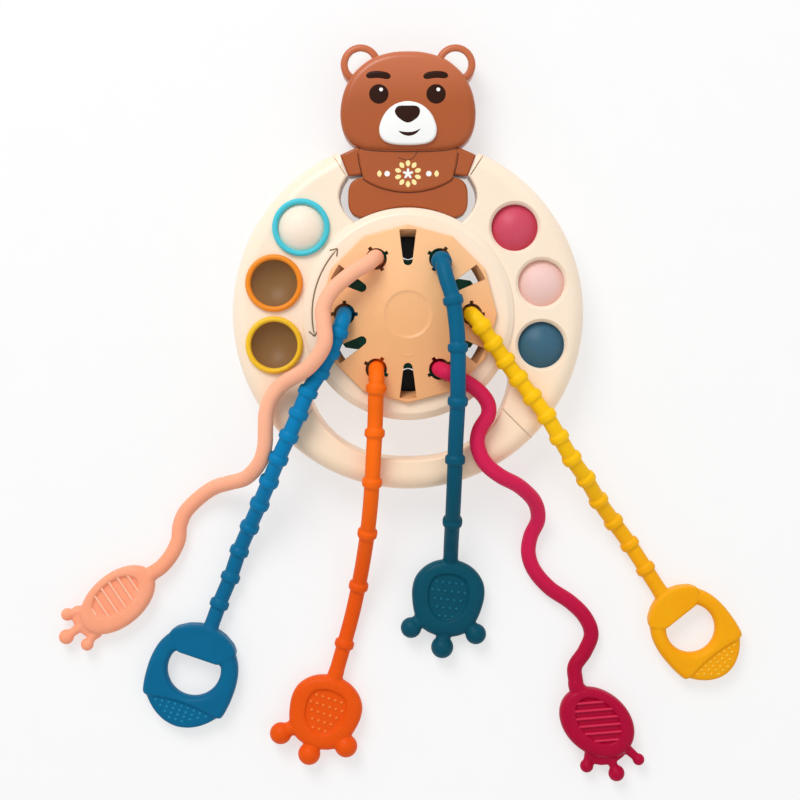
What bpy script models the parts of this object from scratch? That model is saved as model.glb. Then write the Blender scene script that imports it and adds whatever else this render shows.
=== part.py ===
# A baby's pull string toy, built from its separate pieces: a hand ring in two moulded shells with a
# grip handle, a bear clamped into its top, a turning hub with six silicone strings, a pull tab on
# each string, and six push-through poppers. It lies on its back, with the front facing +Z.
# Sizes are in metres. RING_Y puts the origin under the middle of the ring and the bear together.

import math

import bmesh
import bpy
import numpy as np
from mathutils import Matrix, Vector

MM = 0.001
GAP = 0.0003  # between pieces that seat on each other

# Ring
RING_RADIUS = 0.080
RING_THICKNESS = 0.024
RING_EDGE_ROUND = 0.008
WALL = 0.002
SHELL_STEPS = 38
HOLLOW_STEPS = 22
WELL_STEPS = 14
COLLAR_RADIUS = 0.048
COLLAR_STEP = 0.001
COLLAR_RISE = 0.0032
COLLAR_LAND_RADIUS = 0.0415
BORE_RADIUS = 0.0377
REAR_RECESS = 0.0035
REAR_RECESS_CLEARANCE = 0.0008  # round the hub's rear cap

# Openings in the ring
GRIP_HOLE_RADIUS = 0.0491
GRIP_HOLE_END = 0.0085  # height of its blunt ends
HANDLE_WIDTH = 0.0135  # across its middle
GRIP_HOLE_START = math.radians(-27)
HANDLE_HALF_ANGLE = math.radians(45)
SEAT_HALF_ANGLE = math.radians(23.5)
SEAT_CORNER_ANGLE = math.radians(31.5)
SEAT_BULGE = (0.0311, 0.0526)  # widest point of the gap beside the legs
TENON_LENGTH = 0.009
TENON_WIDTH = 0.009
TENON_HEIGHT = 0.008
TENON_INSET = 0.0085  # from the ring's edge to the middle of a tenon

# Bear
EAR_TOP = 0.1226  # above the ring's centre
EAR_RADIUS = 0.0091
EAR_X = 0.0214
HEAD_WIDTH = 0.0612
HEAD_LOW = 0.0740
HEAD_HEIGHT = 0.0457
HEAD_DEPTH = 0.0125
BODY_DEPTH = 0.0105
BEAR_ROUND = 0.0035
LEG_HALF_WIDTH = 0.0270
SLEEVE_HALF_WIDTH = 0.0305
MUZZLE_Y = 0.0866
MUZZLE_HEIGHT = 0.0022
MUZZLE_PEG = 0.0035
MUZZLE_PEG_X = 0.0060

# Hub
HUB_RADIUS = 0.0407
HUB_SIDES = 12
HUB_RISE = 0.0043
HUB_EDGE = 0.002
HUB_GAP = 0.0005
DIMPLE_RADIUS = 0.0109
DIMPLE_DEPTH = 0.0006
HOLE_CIRCLE = 0.0285
HOLE_RADIUS = 0.0048
SLOT_INNER = 0.0218
SLOT_OUTER = 0.0387
SLOT_NARROW = 0.0041
SLOT_WIDE = 0.0078
SKIRT_DEPTH = 0.0117
HUB_BOSS_CIRCLE = 0.0160
HUB_BOSS_RADIUS = 0.0030
WHEEL_RADIUS = 0.0335
WHEEL_VALLEY = 0.0250
WHEEL_LOBES = 8
WHEEL_THICKNESS = 0.0014
PAWL_WIDTH = 0.0060
PAWL_HEIGHT = 0.0040

# Poppers
POPPER_INSET = 0.0014  # from the middle of the band between the collar and the ring's edge
POPPER_HOLE = 0.0116
POPPER_MOUTH = 0.0109
POPPER_BEVEL = 0.0010
POPPER_WALL = 0.0016
DOME_RADIUS = 0.0102
DOME_HEIGHT = 0.0045
DOME_WALL = 0.0011
RIM_RADIUS = 0.0130
RIM_HEIGHT = 0.0021
RIM_SLEEVE_RADIUS = 0.0113
RIM_BORE = 0.0105
RIM_SLEEVE = 0.0085

# Screws
SCREW_HEAD_RADIUS = 0.0028
SCREW_HEAD_HEIGHT = 0.0020
SCREW_SHANK_RADIUS = 0.00135
SHELL_SCREW_LENGTH = 0.0130
HUB_SCREW_LENGTH = 0.0110
SCREW_SEAT = 0.0078
COLLAR_SCREW_INSET = 0.0028
SEAT_SCREW_INSET = 0.0135
HANDLE_SCREW_INSET = 0.0110
SCREW_BOSS_RADIUS = 0.0044
FRONT_BOSS_RADIUS = 0.0034

# Strings
CORD_RADIUS = 0.0035
RIB_RADIUS = 0.0046
RIB_LENGTH = 0.0040
STOP_RIB_RADIUS = 0.0050
STOP_RIB_PLACE = 0.0065
INNER_BEND = 0.0060
TIER_STEP = 0.0073
TOP_TIER = 0.0248

# Pull tabs
TAB_Z = 0.0050
TAB_THICKNESS = 0.0090
WINDOW_DEPTH = 0.0016

FACE = RING_THICKNESS
MIDDLE = RING_THICKNESS / 2
COLLAR_TOP = FACE + COLLAR_RISE
HUB_SEAT = COLLAR_TOP + HUB_GAP
HUB_RIM = HUB_SEAT + HUB_EDGE
HUB_TOP = HUB_RIM + HUB_RISE
REAR_CAP_TOP = REAR_RECESS - HUB_GAP
REAR_CAP_BOTTOM = REAR_CAP_TOP - HUB_EDGE
RING_Y = -(EAR_TOP - RING_RADIUS) / 2
REAR_RECESS_RADIUS = HUB_RADIUS + REAR_RECESS_CLEARANCE
GRIP_HOLE_DROP = RING_RADIUS - HANDLE_WIDTH - GRIP_HOLE_RADIUS  # of its centre below the ring's
TENON_RADIUS = RING_RADIUS - TENON_INSET
POPPER_CIRCLE = (COLLAR_RADIUS + RING_RADIUS) / 2 - POPPER_INSET

CREAM = (0.98, 0.80, 0.63)
APRICOT = (0.95, 0.52, 0.24)
BROWN = (0.48, 0.13, 0.04)
DARK_GREEN = (0.00, 0.13, 0.09)
BLACK = (0.02, 0.02, 0.02)
STEEL = (0.55, 0.55, 0.57)
SALMON = (0.97, 0.33, 0.19)
CRIMSON = (0.56, 0.01, 0.05)
BLUE = (0.00, 0.16, 0.36)
YELLOW = (0.96, 0.40, 0.01)
ORANGE = (0.91, 0.11, 0.01)
TEAL = (0.00, 0.07, 0.13)

# name, angle round the ring, rim colour, dome colour, dome stands out at rest, rim on the front face
POPPERS = [
    ("cyan", 141, (0.03, 0.51, 0.68), CREAM, True, True),
    ("amber", 167, (0.87, 0.24, 0.03), (0.23, 0.10, 0.04), False, True),
    ("lemon", 193, (0.83, 0.54, 0.03), (0.23, 0.10, 0.04), False, True),
    ("rose", 39, CREAM, (0.61, 0.07, 0.13), True, False),
    ("pink", 13, CREAM, (0.83, 0.54, 0.54), True, False),
    ("slate", -13, CREAM, (0.06, 0.16, 0.22), True, False),
]

# Routes run from just outside the hub's hole to the neck of the tab, in millimetres from the
# ring's centre, as the strings lie: over the ring's rim and down to the table.
ROUTES = {
    "salmon": [
        (-14.6, 25.3, 32.5), (-17.6, 22.4, 39.0), (-24.9, 17.9, 42.0), (-33.5, 10.2, 42.4),
        (-37.4, 2.5, 42.8), (-37.1, -4.1, 43.8), (-36.5, -13.7, 44.2), (-43.6, -22.6, 40.4),
        (-55.4, -28.3, 32.0), (-63.2, -36.0, 29.5), (-65.2, -45.2, 29.0), (-66.2, -54.6, 28.2),
        (-70.0, -62.8, 25.8), (-76.6, -73.6, 20.0), (-84.6, -78.0, 13.0), (-94.4, -82.8, 7.5),
        (-102.3, -89.4, 4.4), (-106.5, -96.5, 3.7), (-107.4, -104.4, 3.7), (-109.4, -112.4, 4.0),
        (-114.5, -118.6, 4.6), (-120.2, -121.9, 5.0),
    ],
    "crimson": [
        (14.4, -24.7, 32.5), (17.2, -25.9, 36.0), (22.8, -28.6, 34.8), (30.6, -33.5, 31.8),
        (35.6, -39.4, 29.5), (36.2, -45.4, 28.6), (32.3, -52.3, 28.4), (31.4, -59.2, 28.6),
        (34.8, -67.1, 28.6), (41.7, -73.1, 26.5), (50.9, -78.5, 21.0), (58.4, -86.4, 13.0),
        (60.5, -95.2, 7.5), (57.3, -103.7, 4.6), (56.4, -112.0, 3.7), (59.4, -120.2, 3.7),
        (66.6, -128.3, 3.7), (75.8, -134.5, 3.7), (82.9, -141.6, 3.7), (86.0, -149.8, 3.7),
        (83.0, -158.1, 3.7), (78.4, -165.2, 4.2), (78.8, -172.6, 5.0),
    ],
    "blue": [
        (-28.6, -0.4, 32.5), (-29.2, -3.2, 36.8), (-30.8, -7.6, 36.9), (-34.2, -14.9, 35.7),
        (-38.5, -22.8, 33.9), (-48.4, -40.8, 31.7), (-57.4, -55.3, 30.4), (-65.9, -72.9, 26.0),
        (-71.8, -86.8, 19.5), (-77.5, -101.8, 12.0), (-85.2, -123.7, 5.8), (-91.8, -145.9, 5.0),
    ],
    "yellow": [
        (28.7, -0.4, 32.5), (31.0, -3.0, 36.4), (36.5, -10.8, 34.8), (45.6, -23.6, 31.6),
        (54.5, -35.3, 30.2), (62.1, -45.3, 29.8), (68.2, -55.3, 27.6), (74.4, -65.4, 23.8),
        (81.8, -75.7, 18.0), (88.4, -86.4, 12.0), (96.1, -97.1, 7.5), (103.7, -107.5, 5.2),
        (117.8, -129.3, 5.0),
    ],
    "orange": [
        (-14.2, -25.0, 32.5), (-14.0, -29.4, 36.2), (-14.8, -37.5, 35.0), (-15.7, -47.4, 31.8),
        (-17.0, -65.6, 31.6), (-18.0, -76.6, 29.8), (-19.5, -88.8, 26.0), (-21.4, -100.7, 19.5),
        (-23.5, -113.5, 12.0), (-28.0, -137.9, 5.4), (-31.8, -154.9, 5.0), (-33.9, -168.0, 5.0),
    ],
    "teal": [
        (14.6, 24.4, 32.5), (15.6, 21.3, 38.4), (17.2, 15.1, 41.2), (19.9, 6.2, 42.6),
        (21.6, -7.0, 43.2), (22.1, -18.0, 43.4), (22.1, -28.2, 43.2), (22.1, -38.9, 40.6),
        (21.4, -56.3, 34.6), (21.1, -69.8, 31.6), (20.8, -80.2, 28.2), (20.5, -91.5, 21.6),
        (20.1, -104.2, 12.6), (19.9, -114.6, 6.2),
    ],
}

# name, colour, hub hole's angle, tier inside the hub, distance between ribs (0 for none),
# distance along the route to its first rib
STRINGS = [
    ("salmon", SALMON, 120, 1, 0, 0),
    ("crimson", CRIMSON, 300, 1, 0, 0),
    ("blue", BLUE, 180, 2, 0.0114, 0.012),
    ("yellow", YELLOW, 0, 2, 0.0114, 0.012),
    ("orange", ORANGE, 240, 0, 0.0225, 0.012),
    ("teal", TEAL, 60, 0, 0.0262, 0.006),
]


def clear_scene():
    for obj in list(bpy.data.objects):
        bpy.data.objects.remove(obj, do_unlink=True)


clear_scene()
TOY = bpy.data.collections.new("pull_string_toy")
CUTTERS = bpy.data.collections.new("cutters")
bpy.context.scene.collection.children.link(TOY)
bpy.context.scene.collection.children.link(CUTTERS)


def material(name, colour, roughness, metallic=0.0):
    made = bpy.data.materials.get(name)
    if made is None:
        made = bpy.data.materials.new(name)
        made.use_nodes = True
        shader = made.node_tree.nodes["Principled BSDF"]
        shader.inputs["Base Color"].default_value = (*colour, 1.0)
        shader.inputs["Roughness"].default_value = roughness
        shader.inputs["Metallic"].default_value = metallic
    return made


def place(name, mesh, finish=None):
    """A new object in the toy's collection, or in the cutters' if it has no finish."""
    obj = bpy.data.objects.new(name, mesh)
    if finish is None:
        CUTTERS.objects.link(obj)
        obj.hide_render = True
        obj.display_type = "WIRE"
    else:
        TOY.objects.link(obj)
        mesh.materials.clear()
        mesh.materials.append(finish)
    return obj


def mesh_from(bm, name):
    bmesh.ops.recalc_face_normals(bm, faces=bm.faces)
    mesh = bpy.data.meshes.new(name)
    bm.to_mesh(mesh)
    bm.free()
    mesh.shade_smooth()
    mesh.set_sharp_from_angle(angle=math.radians(35))
    return mesh


def ring_point(radius, angle, z=0.0):
    """A point of the toy from its distance and angle round the ring's centre."""
    return Vector((radius * math.cos(angle), RING_Y + radius * math.sin(angle), z))


def arc(radius, start, end, count, centre=(0.0, 0.0)):
    """Points of an arc, as (x, y)."""
    return [
        (centre[0] + radius * math.cos(a), centre[1] + radius * math.sin(a))
        for a in np.linspace(start, end, count)
    ]


def turned(name, profile, steps, finish=None, centre=None, closed=True):
    """A profile of (radius, height) points turned about a vertical axis by a Screw modifier."""
    mesh = bpy.data.meshes.new(name)
    links = [(i, i + 1) for i in range(len(profile) - 1)]
    if closed:
        links.append((len(profile) - 1, 0))
    mesh.from_pydata([(r, 0.0, z) for r, z in profile], links, [])
    obj = place(name, mesh, finish)
    obj.location = centre if centre is not None else (0.0, RING_Y, 0.0)
    screw = obj.modifiers.new("turn", "SCREW")
    screw.steps = steps
    screw.render_steps = steps
    screw.use_merge_vertices = True
    screw.merge_threshold = 0.00001
    screw.use_smooth_shade = True
    return obj


def outline_curve(name, outline, low, high, rounding):
    curve = bpy.data.curves.new(name, "CURVE")
    curve.dimensions = "2D"
    curve.fill_mode = "BOTH"
    curve.extrude = (high - low) / 2 - rounding
    curve.bevel_depth = rounding
    curve.bevel_resolution = 1
    curve.offset = -rounding
    spline = curve.splines.new("POLY")
    spline.points.add(len(outline) - 1)
    for point, (x, y) in zip(spline.points, outline):
        point.co = (x, y, 0.0, 1.0)
    spline.use_cyclic_u = True
    return curve


def as_mesh(curve_obj, name):
    """The evaluated curve as a mesh, with its caps welded on and each of them one face."""
    bpy.context.view_layer.update()
    evaluated = curve_obj.evaluated_get(bpy.context.evaluated_depsgraph_get())
    mesh = bpy.data.meshes.new_from_object(evaluated)
    mesh.name = name
    bm = bmesh.new()
    bm.from_mesh(mesh)
    bmesh.ops.remove_doubles(bm, verts=bm.verts, dist=0.00001)
    flat = math.radians(0.1)
    bmesh.ops.dissolve_limit(bm, angle_limit=flat, verts=bm.verts, edges=bm.edges)
    bmesh.ops.recalc_face_normals(bm, faces=bm.faces)
    bm.to_mesh(mesh)
    bm.free()
    curve = curve_obj.data
    bpy.data.objects.remove(curve_obj, do_unlink=True)
    bpy.data.curves.remove(curve)
    mesh.shade_smooth()
    mesh.set_sharp_from_angle(angle=math.radians(35))
    return mesh


def slab(name, outline, low, high, finish=None, rounding=0.0, matrix=None):
    """A flat outline of (x, y) points made as thick as from low to high, with rounded edges."""
    curve = outline_curve(name, outline, low, high, rounding)
    curve_obj = bpy.data.objects.new(name, curve)
    TOY.objects.link(curve_obj)
    mesh = as_mesh(curve_obj, name)
    obj = place(name, mesh, finish)
    lift = Matrix.Translation((0.0, 0.0, (low + high) / 2))
    obj.matrix_world = (matrix or Matrix.Translation((0.0, RING_Y, 0.0))) @ lift
    return obj


def peg(name, radius, low, high, centre, steps=16, finish=None, top_radius=None):
    """An upright cylinder, or a cone with another radius at its top, at centre (x, y)."""
    bm = bmesh.new()
    bmesh.ops.create_cone(
        bm,
        cap_ends=True,
        segments=steps,
        radius1=radius,
        radius2=radius if top_radius is None else top_radius,
        depth=high - low,
    )
    obj = place(name, mesh_from(bm, name), finish)
    obj.location = (centre[0], centre[1], (low + high) / 2)
    obj.rotation_euler.z = math.pi / (2 * steps)  # so that no corner lies on an edge of what it cuts
    return obj


def ball(name, radius, centre, matrix, sides=8):
    bm = bmesh.new()
    bmesh.ops.create_uvsphere(bm, u_segments=sides, v_segments=sides // 2 + 1, radius=radius)
    obj = place(name, mesh_from(bm, name))
    obj.matrix_world = matrix @ Matrix.Translation(centre)
    return obj


def block(name, size, matrix):
    bm = bmesh.new()
    bmesh.ops.create_cube(bm, size=1.0)
    bmesh.ops.scale(bm, vec=size, verts=bm.verts)
    obj = place(name, mesh_from(bm, name))
    obj.matrix_world = matrix
    return obj


def combine(obj, other, operation):
    cut = obj.modifiers.new(operation.lower() + " " + other.name, "BOOLEAN")
    cut.operation = operation
    cut.object = other
    return obj


def cut(obj, *others):
    for other in others:
        combine(obj, other, "DIFFERENCE")
    return obj


def join(obj, *others):
    for other in others:
        combine(obj, other, "UNION")
    return obj


def merge_flats(objects):
    """Joins faces that lie in one plane, which the Booleans leave in pieces."""
    for obj in objects:
        if any(modifier.type == "BOOLEAN" for modifier in obj.modifiers):
            flats = obj.modifiers.new("merge flats", "DECIMATE")
            flats.decimate_type = "DISSOLVE"
            flats.angle_limit = math.radians(0.2)


def turned_to(angle, centre=None):
    """A frame at centre whose +X points along that angle."""
    where = centre if centre is not None else Vector((0.0, RING_Y, 0.0))
    return Matrix.Translation(where) @ Matrix.Rotation(angle, 4, "Z")


def rounded_edge(radius, face, side, rounding, count=3):
    """Profile points of a rounded outer edge from the face at that height to the side wall."""
    sign = 1 if face > side else -1
    centre = (radius - rounding, face - sign * rounding)
    angles = np.linspace(math.pi / 2, 0, count)
    return [
        (centre[0] + rounding * math.cos(a), centre[1] + sign * rounding * math.sin(a))
        for a in angles
    ]


def grip_outline(grow=0.0):
    """The grip hole: a crescent between the collar and a larger circle set lower."""
    inner = COLLAR_RADIUS - grow
    outer = GRIP_HOLE_RADIUS + grow
    end = GRIP_HOLE_START + grow / COLLAR_RADIUS
    centre = (0.0, -GRIP_HOLE_DROP)
    first = math.asin((inner * math.sin(end) - grow * 0.3 + GRIP_HOLE_DROP - GRIP_HOLE_END) / outer)
    below = arc(outer, first, -math.pi - first, 15, centre)
    above = arc(inner, -math.pi - end, end, 13)
    return below + above


def seat_outline(grow=0.0):
    """The gap round the bear's legs, open at the ring's outside, with its left side mirrored."""
    inner = COLLAR_RADIUS - grow
    up = math.pi / 2
    corner = (
        inner * math.sin(SEAT_CORNER_ANGLE) + grow,
        inner * math.cos(SEAT_CORNER_ANGLE),
    )
    top = SEAT_HALF_ANGLE + grow / RING_RADIUS
    neck = 0.069 - grow
    far = RING_RADIUS + 0.02
    x, y = SEAT_BULGE
    right = [
        corner,
        (x - 0.0010 + grow, y - 0.0058),
        (x + grow, y),
        (x - 0.0008 + grow, y + 0.0055),
        (neck * math.sin(top), neck * math.cos(top)),
        (far * math.sin(top), far * math.cos(top)),
    ]
    left = [(-px, py) for px, py in reversed(right)]
    foot = arc(inner, up + SEAT_CORNER_ANGLE, up - SEAT_CORNER_ANGLE, 9)[1:-1]
    return right + left + foot


def handle_sector(spare=0.0):
    """The part of the ring that the grip handle takes the place of."""
    start = -math.pi / 2 - HANDLE_HALF_ANGLE - spare / RING_RADIUS
    end = -math.pi / 2 + HANDLE_HALF_ANGLE + spare / RING_RADIUS
    near = COLLAR_RADIUS + 0.004
    far = RING_RADIUS + 0.02
    return arc(near, end, start, 7) + arc(far, start, end, 5)


def popper_centre(angle):
    return ring_point(POPPER_CIRCLE, math.radians(angle))


SHELL_SCREWS = [
    (COLLAR_RADIUS - COLLAR_SCREW_INSET, 0),
    (COLLAR_RADIUS - COLLAR_SCREW_INSET, 180),
    (RING_RADIUS - SEAT_SCREW_INSET, 57),
    (RING_RADIUS - SEAT_SCREW_INSET, 123),
    (RING_RADIUS - HANDLE_SCREW_INSET, -34),
    (RING_RADIUS - HANDLE_SCREW_INSET, 214),
]


def screw_centres():
    return [ring_point(radius, math.radians(angle)) for radius, angle in SHELL_SCREWS]


def tenon(name, radius, angle, length, width, height, finish=None):
    """A block through a joint face of the ring, half of its length on either side."""
    centre = ring_point(radius, angle, MIDDLE)
    obj = block(name, (width, length, height), turned_to(angle, centre))
    return obj


def ring_hollow(name, low, high, bottom_of_recess=None):
    """What is taken out of a shell: the space inside its walls, less the walls round its openings."""
    inside = BORE_RADIUS + WALL
    outside = RING_RADIUS - WALL
    soft = RING_EDGE_ROUND - WALL
    if bottom_of_recess is None:
        profile = [(inside, high), *rounded_edge(outside, high, low, soft, 2), (outside, low), (inside, low)]
    else:
        step = REAR_RECESS_RADIUS + WALL
        profile = [
            (inside, high),
            (outside, high),
            *reversed(rounded_edge(outside, low, high, soft, 2)),
            (step, low),
            (step, bottom_of_recess),
            (inside, bottom_of_recess),
        ]
    hollow = turned(name, profile, HOLLOW_STEPS)
    keep = []
    for popper, angle, *_ in POPPERS:
        keep.append(
            peg(
                f"{name} wall of {popper}",
                POPPER_HOLE + POPPER_WALL,
                low - WALL,
                high + WALL,
                popper_centre(angle),
                8,
            )
        )
    keep.append(slab(f"{name} grip wall", grip_outline(WALL), low - WALL, high + WALL))
    keep.append(slab(f"{name} seat wall", seat_outline(WALL), low - WALL, high + WALL))
    keep.append(slab(f"{name} handle wall", handle_sector(WALL), low - WALL, high + WALL))
    boss = FRONT_BOSS_RADIUS if bottom_of_recess is None else SCREW_BOSS_RADIUS
    for i, centre in enumerate(screw_centres()):
        keep.append(peg(f"{name} boss {i}", boss, low - WALL, high + WALL, centre, 6))
    return cut(hollow, *keep)


def cut_openings(shell, name, low, high):
    """The grip hole, the bear's seat, the handle's place and the joints' sockets, right through."""
    cut(shell, slab(f"{name} grip hole", grip_outline(), low, high))
    cut(shell, slab(f"{name} seat", seat_outline(), low, high))
    cut(shell, slab(f"{name} handle place", handle_sector(), low, high))
    for side in (-1, 1):
        handle_joint = -math.pi / 2 + side * HANDLE_HALF_ANGLE
        seat_joint = math.pi / 2 + side * SEAT_HALF_ANGLE
        for joint, angle in (("handle", handle_joint), ("seat", seat_joint)):
            socket = tenon(
                f"{name} {joint} socket {side}",
                TENON_RADIUS,
                angle,
                TENON_LENGTH + 2 * GAP,
                TENON_WIDTH + 2 * GAP,
                TENON_HEIGHT + 2 * GAP,
            )
            cut(shell, socket)
    return shell


def front_shell():
    finish = material("cream plastic", CREAM, 0.35)
    low = MIDDLE + GAP / 2
    profile = [
        (BORE_RADIUS, COLLAR_TOP),
        (COLLAR_LAND_RADIUS, COLLAR_TOP),
        (COLLAR_RADIUS, FACE + COLLAR_STEP),
        (COLLAR_RADIUS, FACE),
        *rounded_edge(RING_RADIUS, FACE, low, RING_EDGE_ROUND),
        (RING_RADIUS, low),
        (BORE_RADIUS, low),
    ]
    shell = turned("front_shell", profile, SHELL_STEPS, finish)
    cut(shell, ring_hollow("front hollow", low - WALL, FACE - WALL))
    for name, angle, _, _, _, rim_in_front in POPPERS:
        centre = popper_centre(angle)
        top = FACE + WALL if rim_in_front else FACE - WALL
        cut(shell, peg(f"front well {name}", POPPER_HOLE, low - WALL, top, centre, WELL_STEPS))
        if rim_in_front:
            seat = RIM_RADIUS + GAP
            spotface = peg(f"rim seat {name}", seat, FACE + GAP / 2, COLLAR_TOP + WALL, centre, WELL_STEPS)
            cut(shell, spotface)
        else:
            mouth = POPPER_MOUTH
            low_mouth = FACE - 2 * WALL
            cut(shell, peg(f"front mouth {name}", mouth, low_mouth, FACE + WALL, centre, WELL_STEPS))
            edge = mouth + POPPER_BEVEL
            cut(
                shell,
                peg(
                    f"front bevel {name}",
                    mouth,
                    FACE - POPPER_BEVEL,
                    FACE + POPPER_BEVEL,
                    centre,
                    WELL_STEPS,
                    top_radius=edge + POPPER_BEVEL,
                ),
            )
    cut_openings(shell, "front", low - 2 * WALL, COLLAR_TOP + 2 * WALL)
    for i, centre in enumerate(screw_centres()):
        top = SCREW_SEAT + SHELL_SCREW_LENGTH + GAP
        cut(shell, peg(f"pilot {i}", SCREW_SHANK_RADIUS + GAP, low - WALL, top, centre, 6))
    return shell


def rear_shell():
    finish = material("cream plastic", CREAM, 0.35)
    high = MIDDLE - GAP / 2
    profile = [
        (BORE_RADIUS, high),
        (RING_RADIUS, high),
        *reversed(rounded_edge(RING_RADIUS, 0.0, high, RING_EDGE_ROUND)),
        (REAR_RECESS_RADIUS, 0.0),
        (REAR_RECESS_RADIUS, REAR_RECESS),
        (BORE_RADIUS, REAR_RECESS),
    ]
    shell = turned("rear_shell", profile, SHELL_STEPS, finish)
    cut(shell, ring_hollow("rear hollow", WALL, high + WALL, REAR_RECESS + WALL))
    for name, angle, *_ in POPPERS:
        centre = popper_centre(angle)
        cut(shell, peg(f"rear well {name}", POPPER_HOLE, -WALL, high + WALL, centre, WELL_STEPS))
    cut_openings(shell, "rear", -WALL, high + 2 * WALL)
    for i, centre in enumerate(screw_centres()):
        head = SCREW_HEAD_RADIUS + GAP
        cut(shell, peg(f"counterbore {i}", head, -WALL, SCREW_SEAT + GAP, centre, 10))
        cut(shell, peg(f"clearance {i}", SCREW_SHANK_RADIUS + GAP, 0.0, high + WALL, centre, 6))
    return shell


def grip_handle():
    """The lowest quarter of the ring, a piece of its own, with a tenon into the shells at each end."""
    finish = material("cream plastic", CREAM, 0.35)
    inner = COLLAR_RADIUS + 0.002
    profile = [
        (inner, FACE),
        *rounded_edge(RING_RADIUS, FACE, MIDDLE, RING_EDGE_ROUND),
        *reversed(rounded_edge(RING_RADIUS, 0.0, MIDDLE, RING_EDGE_ROUND)),
        (inner, 0.0),
    ]
    handle = turned("grip_handle", profile, SHELL_STEPS, finish)
    combine(handle, slab("handle part", handle_sector(-2 * GAP), -WALL, FACE + WALL), "INTERSECT")
    cut(handle, slab("handle grip hole", grip_outline(), -WALL, FACE + WALL))
    for side in (-1, 1):
        angle = -math.pi / 2 + side * HANDLE_HALF_ANGLE
        join(
            handle,
            tenon(
                f"handle tenon {side}", TENON_RADIUS, angle, TENON_LENGTH, TENON_WIDTH, TENON_HEIGHT
            ),
        )
    return handle


def mirrored(right):
    """A closed outline from its right side, which runs from the top down."""
    return right + [(-x, y) for x, y in reversed(right) if abs(x) > 1e-6]


def head_outline():
    """The head: a wide egg, fuller at the cheeks than at the crown."""
    half = HEAD_WIDTH / 2
    low = HEAD_LOW
    tall = HEAD_HEIGHT
    right = []
    for a in np.linspace(math.pi / 2, -math.pi / 2, 15):
        across = math.copysign(abs(math.cos(a)) ** 0.78, math.cos(a))
        up = math.copysign(abs(math.sin(a)) ** 0.86, math.sin(a))
        fuller = 1.0 - 0.10 * max(up, 0.0) ** 1.5
        right.append((half * across * fuller, low + tall * (0.46 + (0.54 if up > 0 else 0.46) * up)))
    right[0] = (0.0, right[0][1])
    right[-1] = (0.0, right[-1][1])
    return mirrored(right)


def torso_outline():
    """Shirt with short sleeves, narrow at the waist, over wide seated legs that end on the collar."""
    foot = COLLAR_RADIUS + GAP
    waist = 0.0602
    sole = arc(foot, math.pi / 2 - math.asin(0.0195 / foot), math.pi / 2, 6)

    def down_leg(share):
        return waist + share * (foot - waist)

    right = [
        (0.0, HEAD_LOW + 0.006),
        (0.0255, HEAD_LOW + 0.004),
        (SLEEVE_HALF_WIDTH, 0.0725),
        (0.0290, 0.0680),
        (0.0272, 0.0630),
        (0.0225, 0.0620),
        (0.0210, 0.0628),
        (0.0214, 0.0608),
        (0.0240, waist),
        (LEG_HALF_WIDTH - 0.0008, down_leg(0.18)),
        (LEG_HALF_WIDTH, down_leg(0.60)),
        (LEG_HALF_WIDTH - 0.0002, down_leg(1.03)),
        (LEG_HALF_WIDTH - 0.0025, down_leg(1.30)),
        *sole,
    ]
    return mirrored(right)


def bear_half(name, front):
    """Half of the bear, parted where the ring's shells are parted: head, ears, shirt and legs."""
    finish = material("brown plastic", BROWN, 0.35)
    low = MIDDLE + GAP / 2 if front else MIDDLE - GAP / 2
    way = 1 if front else -1
    head_depth = HEAD_DEPTH if front else HEAD_DEPTH - 0.001

    def span(depth):
        return sorted((low - way * BEAR_ROUND, MIDDLE + way * depth))

    half = slab(name, head_outline(), *span(head_depth), finish, BEAR_ROUND)
    torso = slab(f"{name} torso", torso_outline(), *span(BODY_DEPTH), rounding=0.0015)
    join(half, torso)
    for side in (-1, 1):
        ear = peg(
            f"{name} ear {side}",
            EAR_RADIUS,
            *span(BODY_DEPTH - 0.002),
            (side * EAR_X, RING_Y + EAR_TOP - EAR_RADIUS),
            18,
        )
        join(half, ear)
    for side in (-1, 1):
        angle = math.pi / 2 + side * SEAT_HALF_ANGLE
        join(
            half,
            tenon(f"{name} tenon {side}", TENON_RADIUS, angle, TENON_LENGTH, TENON_WIDTH, TENON_HEIGHT),
        )
    if front:
        for side in (-1, 1):
            centre = (side * MUZZLE_PEG_X, RING_Y + MUZZLE_Y)
            top = MIDDLE + HEAD_DEPTH
            hole = peg(f"muzzle hole {side}", 0.0015 + GAP, top - MUZZLE_PEG - GAP, top + WALL, centre, 8)
            cut(half, hole)
    size = 0.4
    away = low - way * size / 2
    cut(half, block(f"{name} parting", (size, size, size), Matrix.Translation((0.0, 0.0, away))))
    return half


def muzzle_outline(grow=0.0):
    """The muzzle: an egg that is flatter below."""
    right = []
    for a in np.linspace(math.pi / 2, -math.pi / 2, 11):
        tall = 0.0108 if a > 0 else 0.0094
        right.append(((0.0129 + grow) * math.cos(a), MUZZLE_Y + (tall + grow) * math.sin(a)))
    right[0] = (0.0, right[0][1])
    right[-1] = (0.0, right[-1][1])
    return mirrored(right)


def bear_muzzle():
    """The raised muzzle, with two pegs into the face."""
    finish = material("white plastic", (0.95, 0.95, 0.93), 0.35)
    low = MIDDLE + HEAD_DEPTH + GAP
    muzzle = slab("bear_muzzle", muzzle_outline(), low, low + MUZZLE_HEIGHT, finish, 0.0010)
    for side in (-1, 1):
        centre = (side * MUZZLE_PEG_X, RING_Y + MUZZLE_Y)
        join(muzzle, peg(f"muzzle peg {side}", 0.0015, low - MUZZLE_PEG, low + 0.001, centre, 8))
    return muzzle


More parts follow.
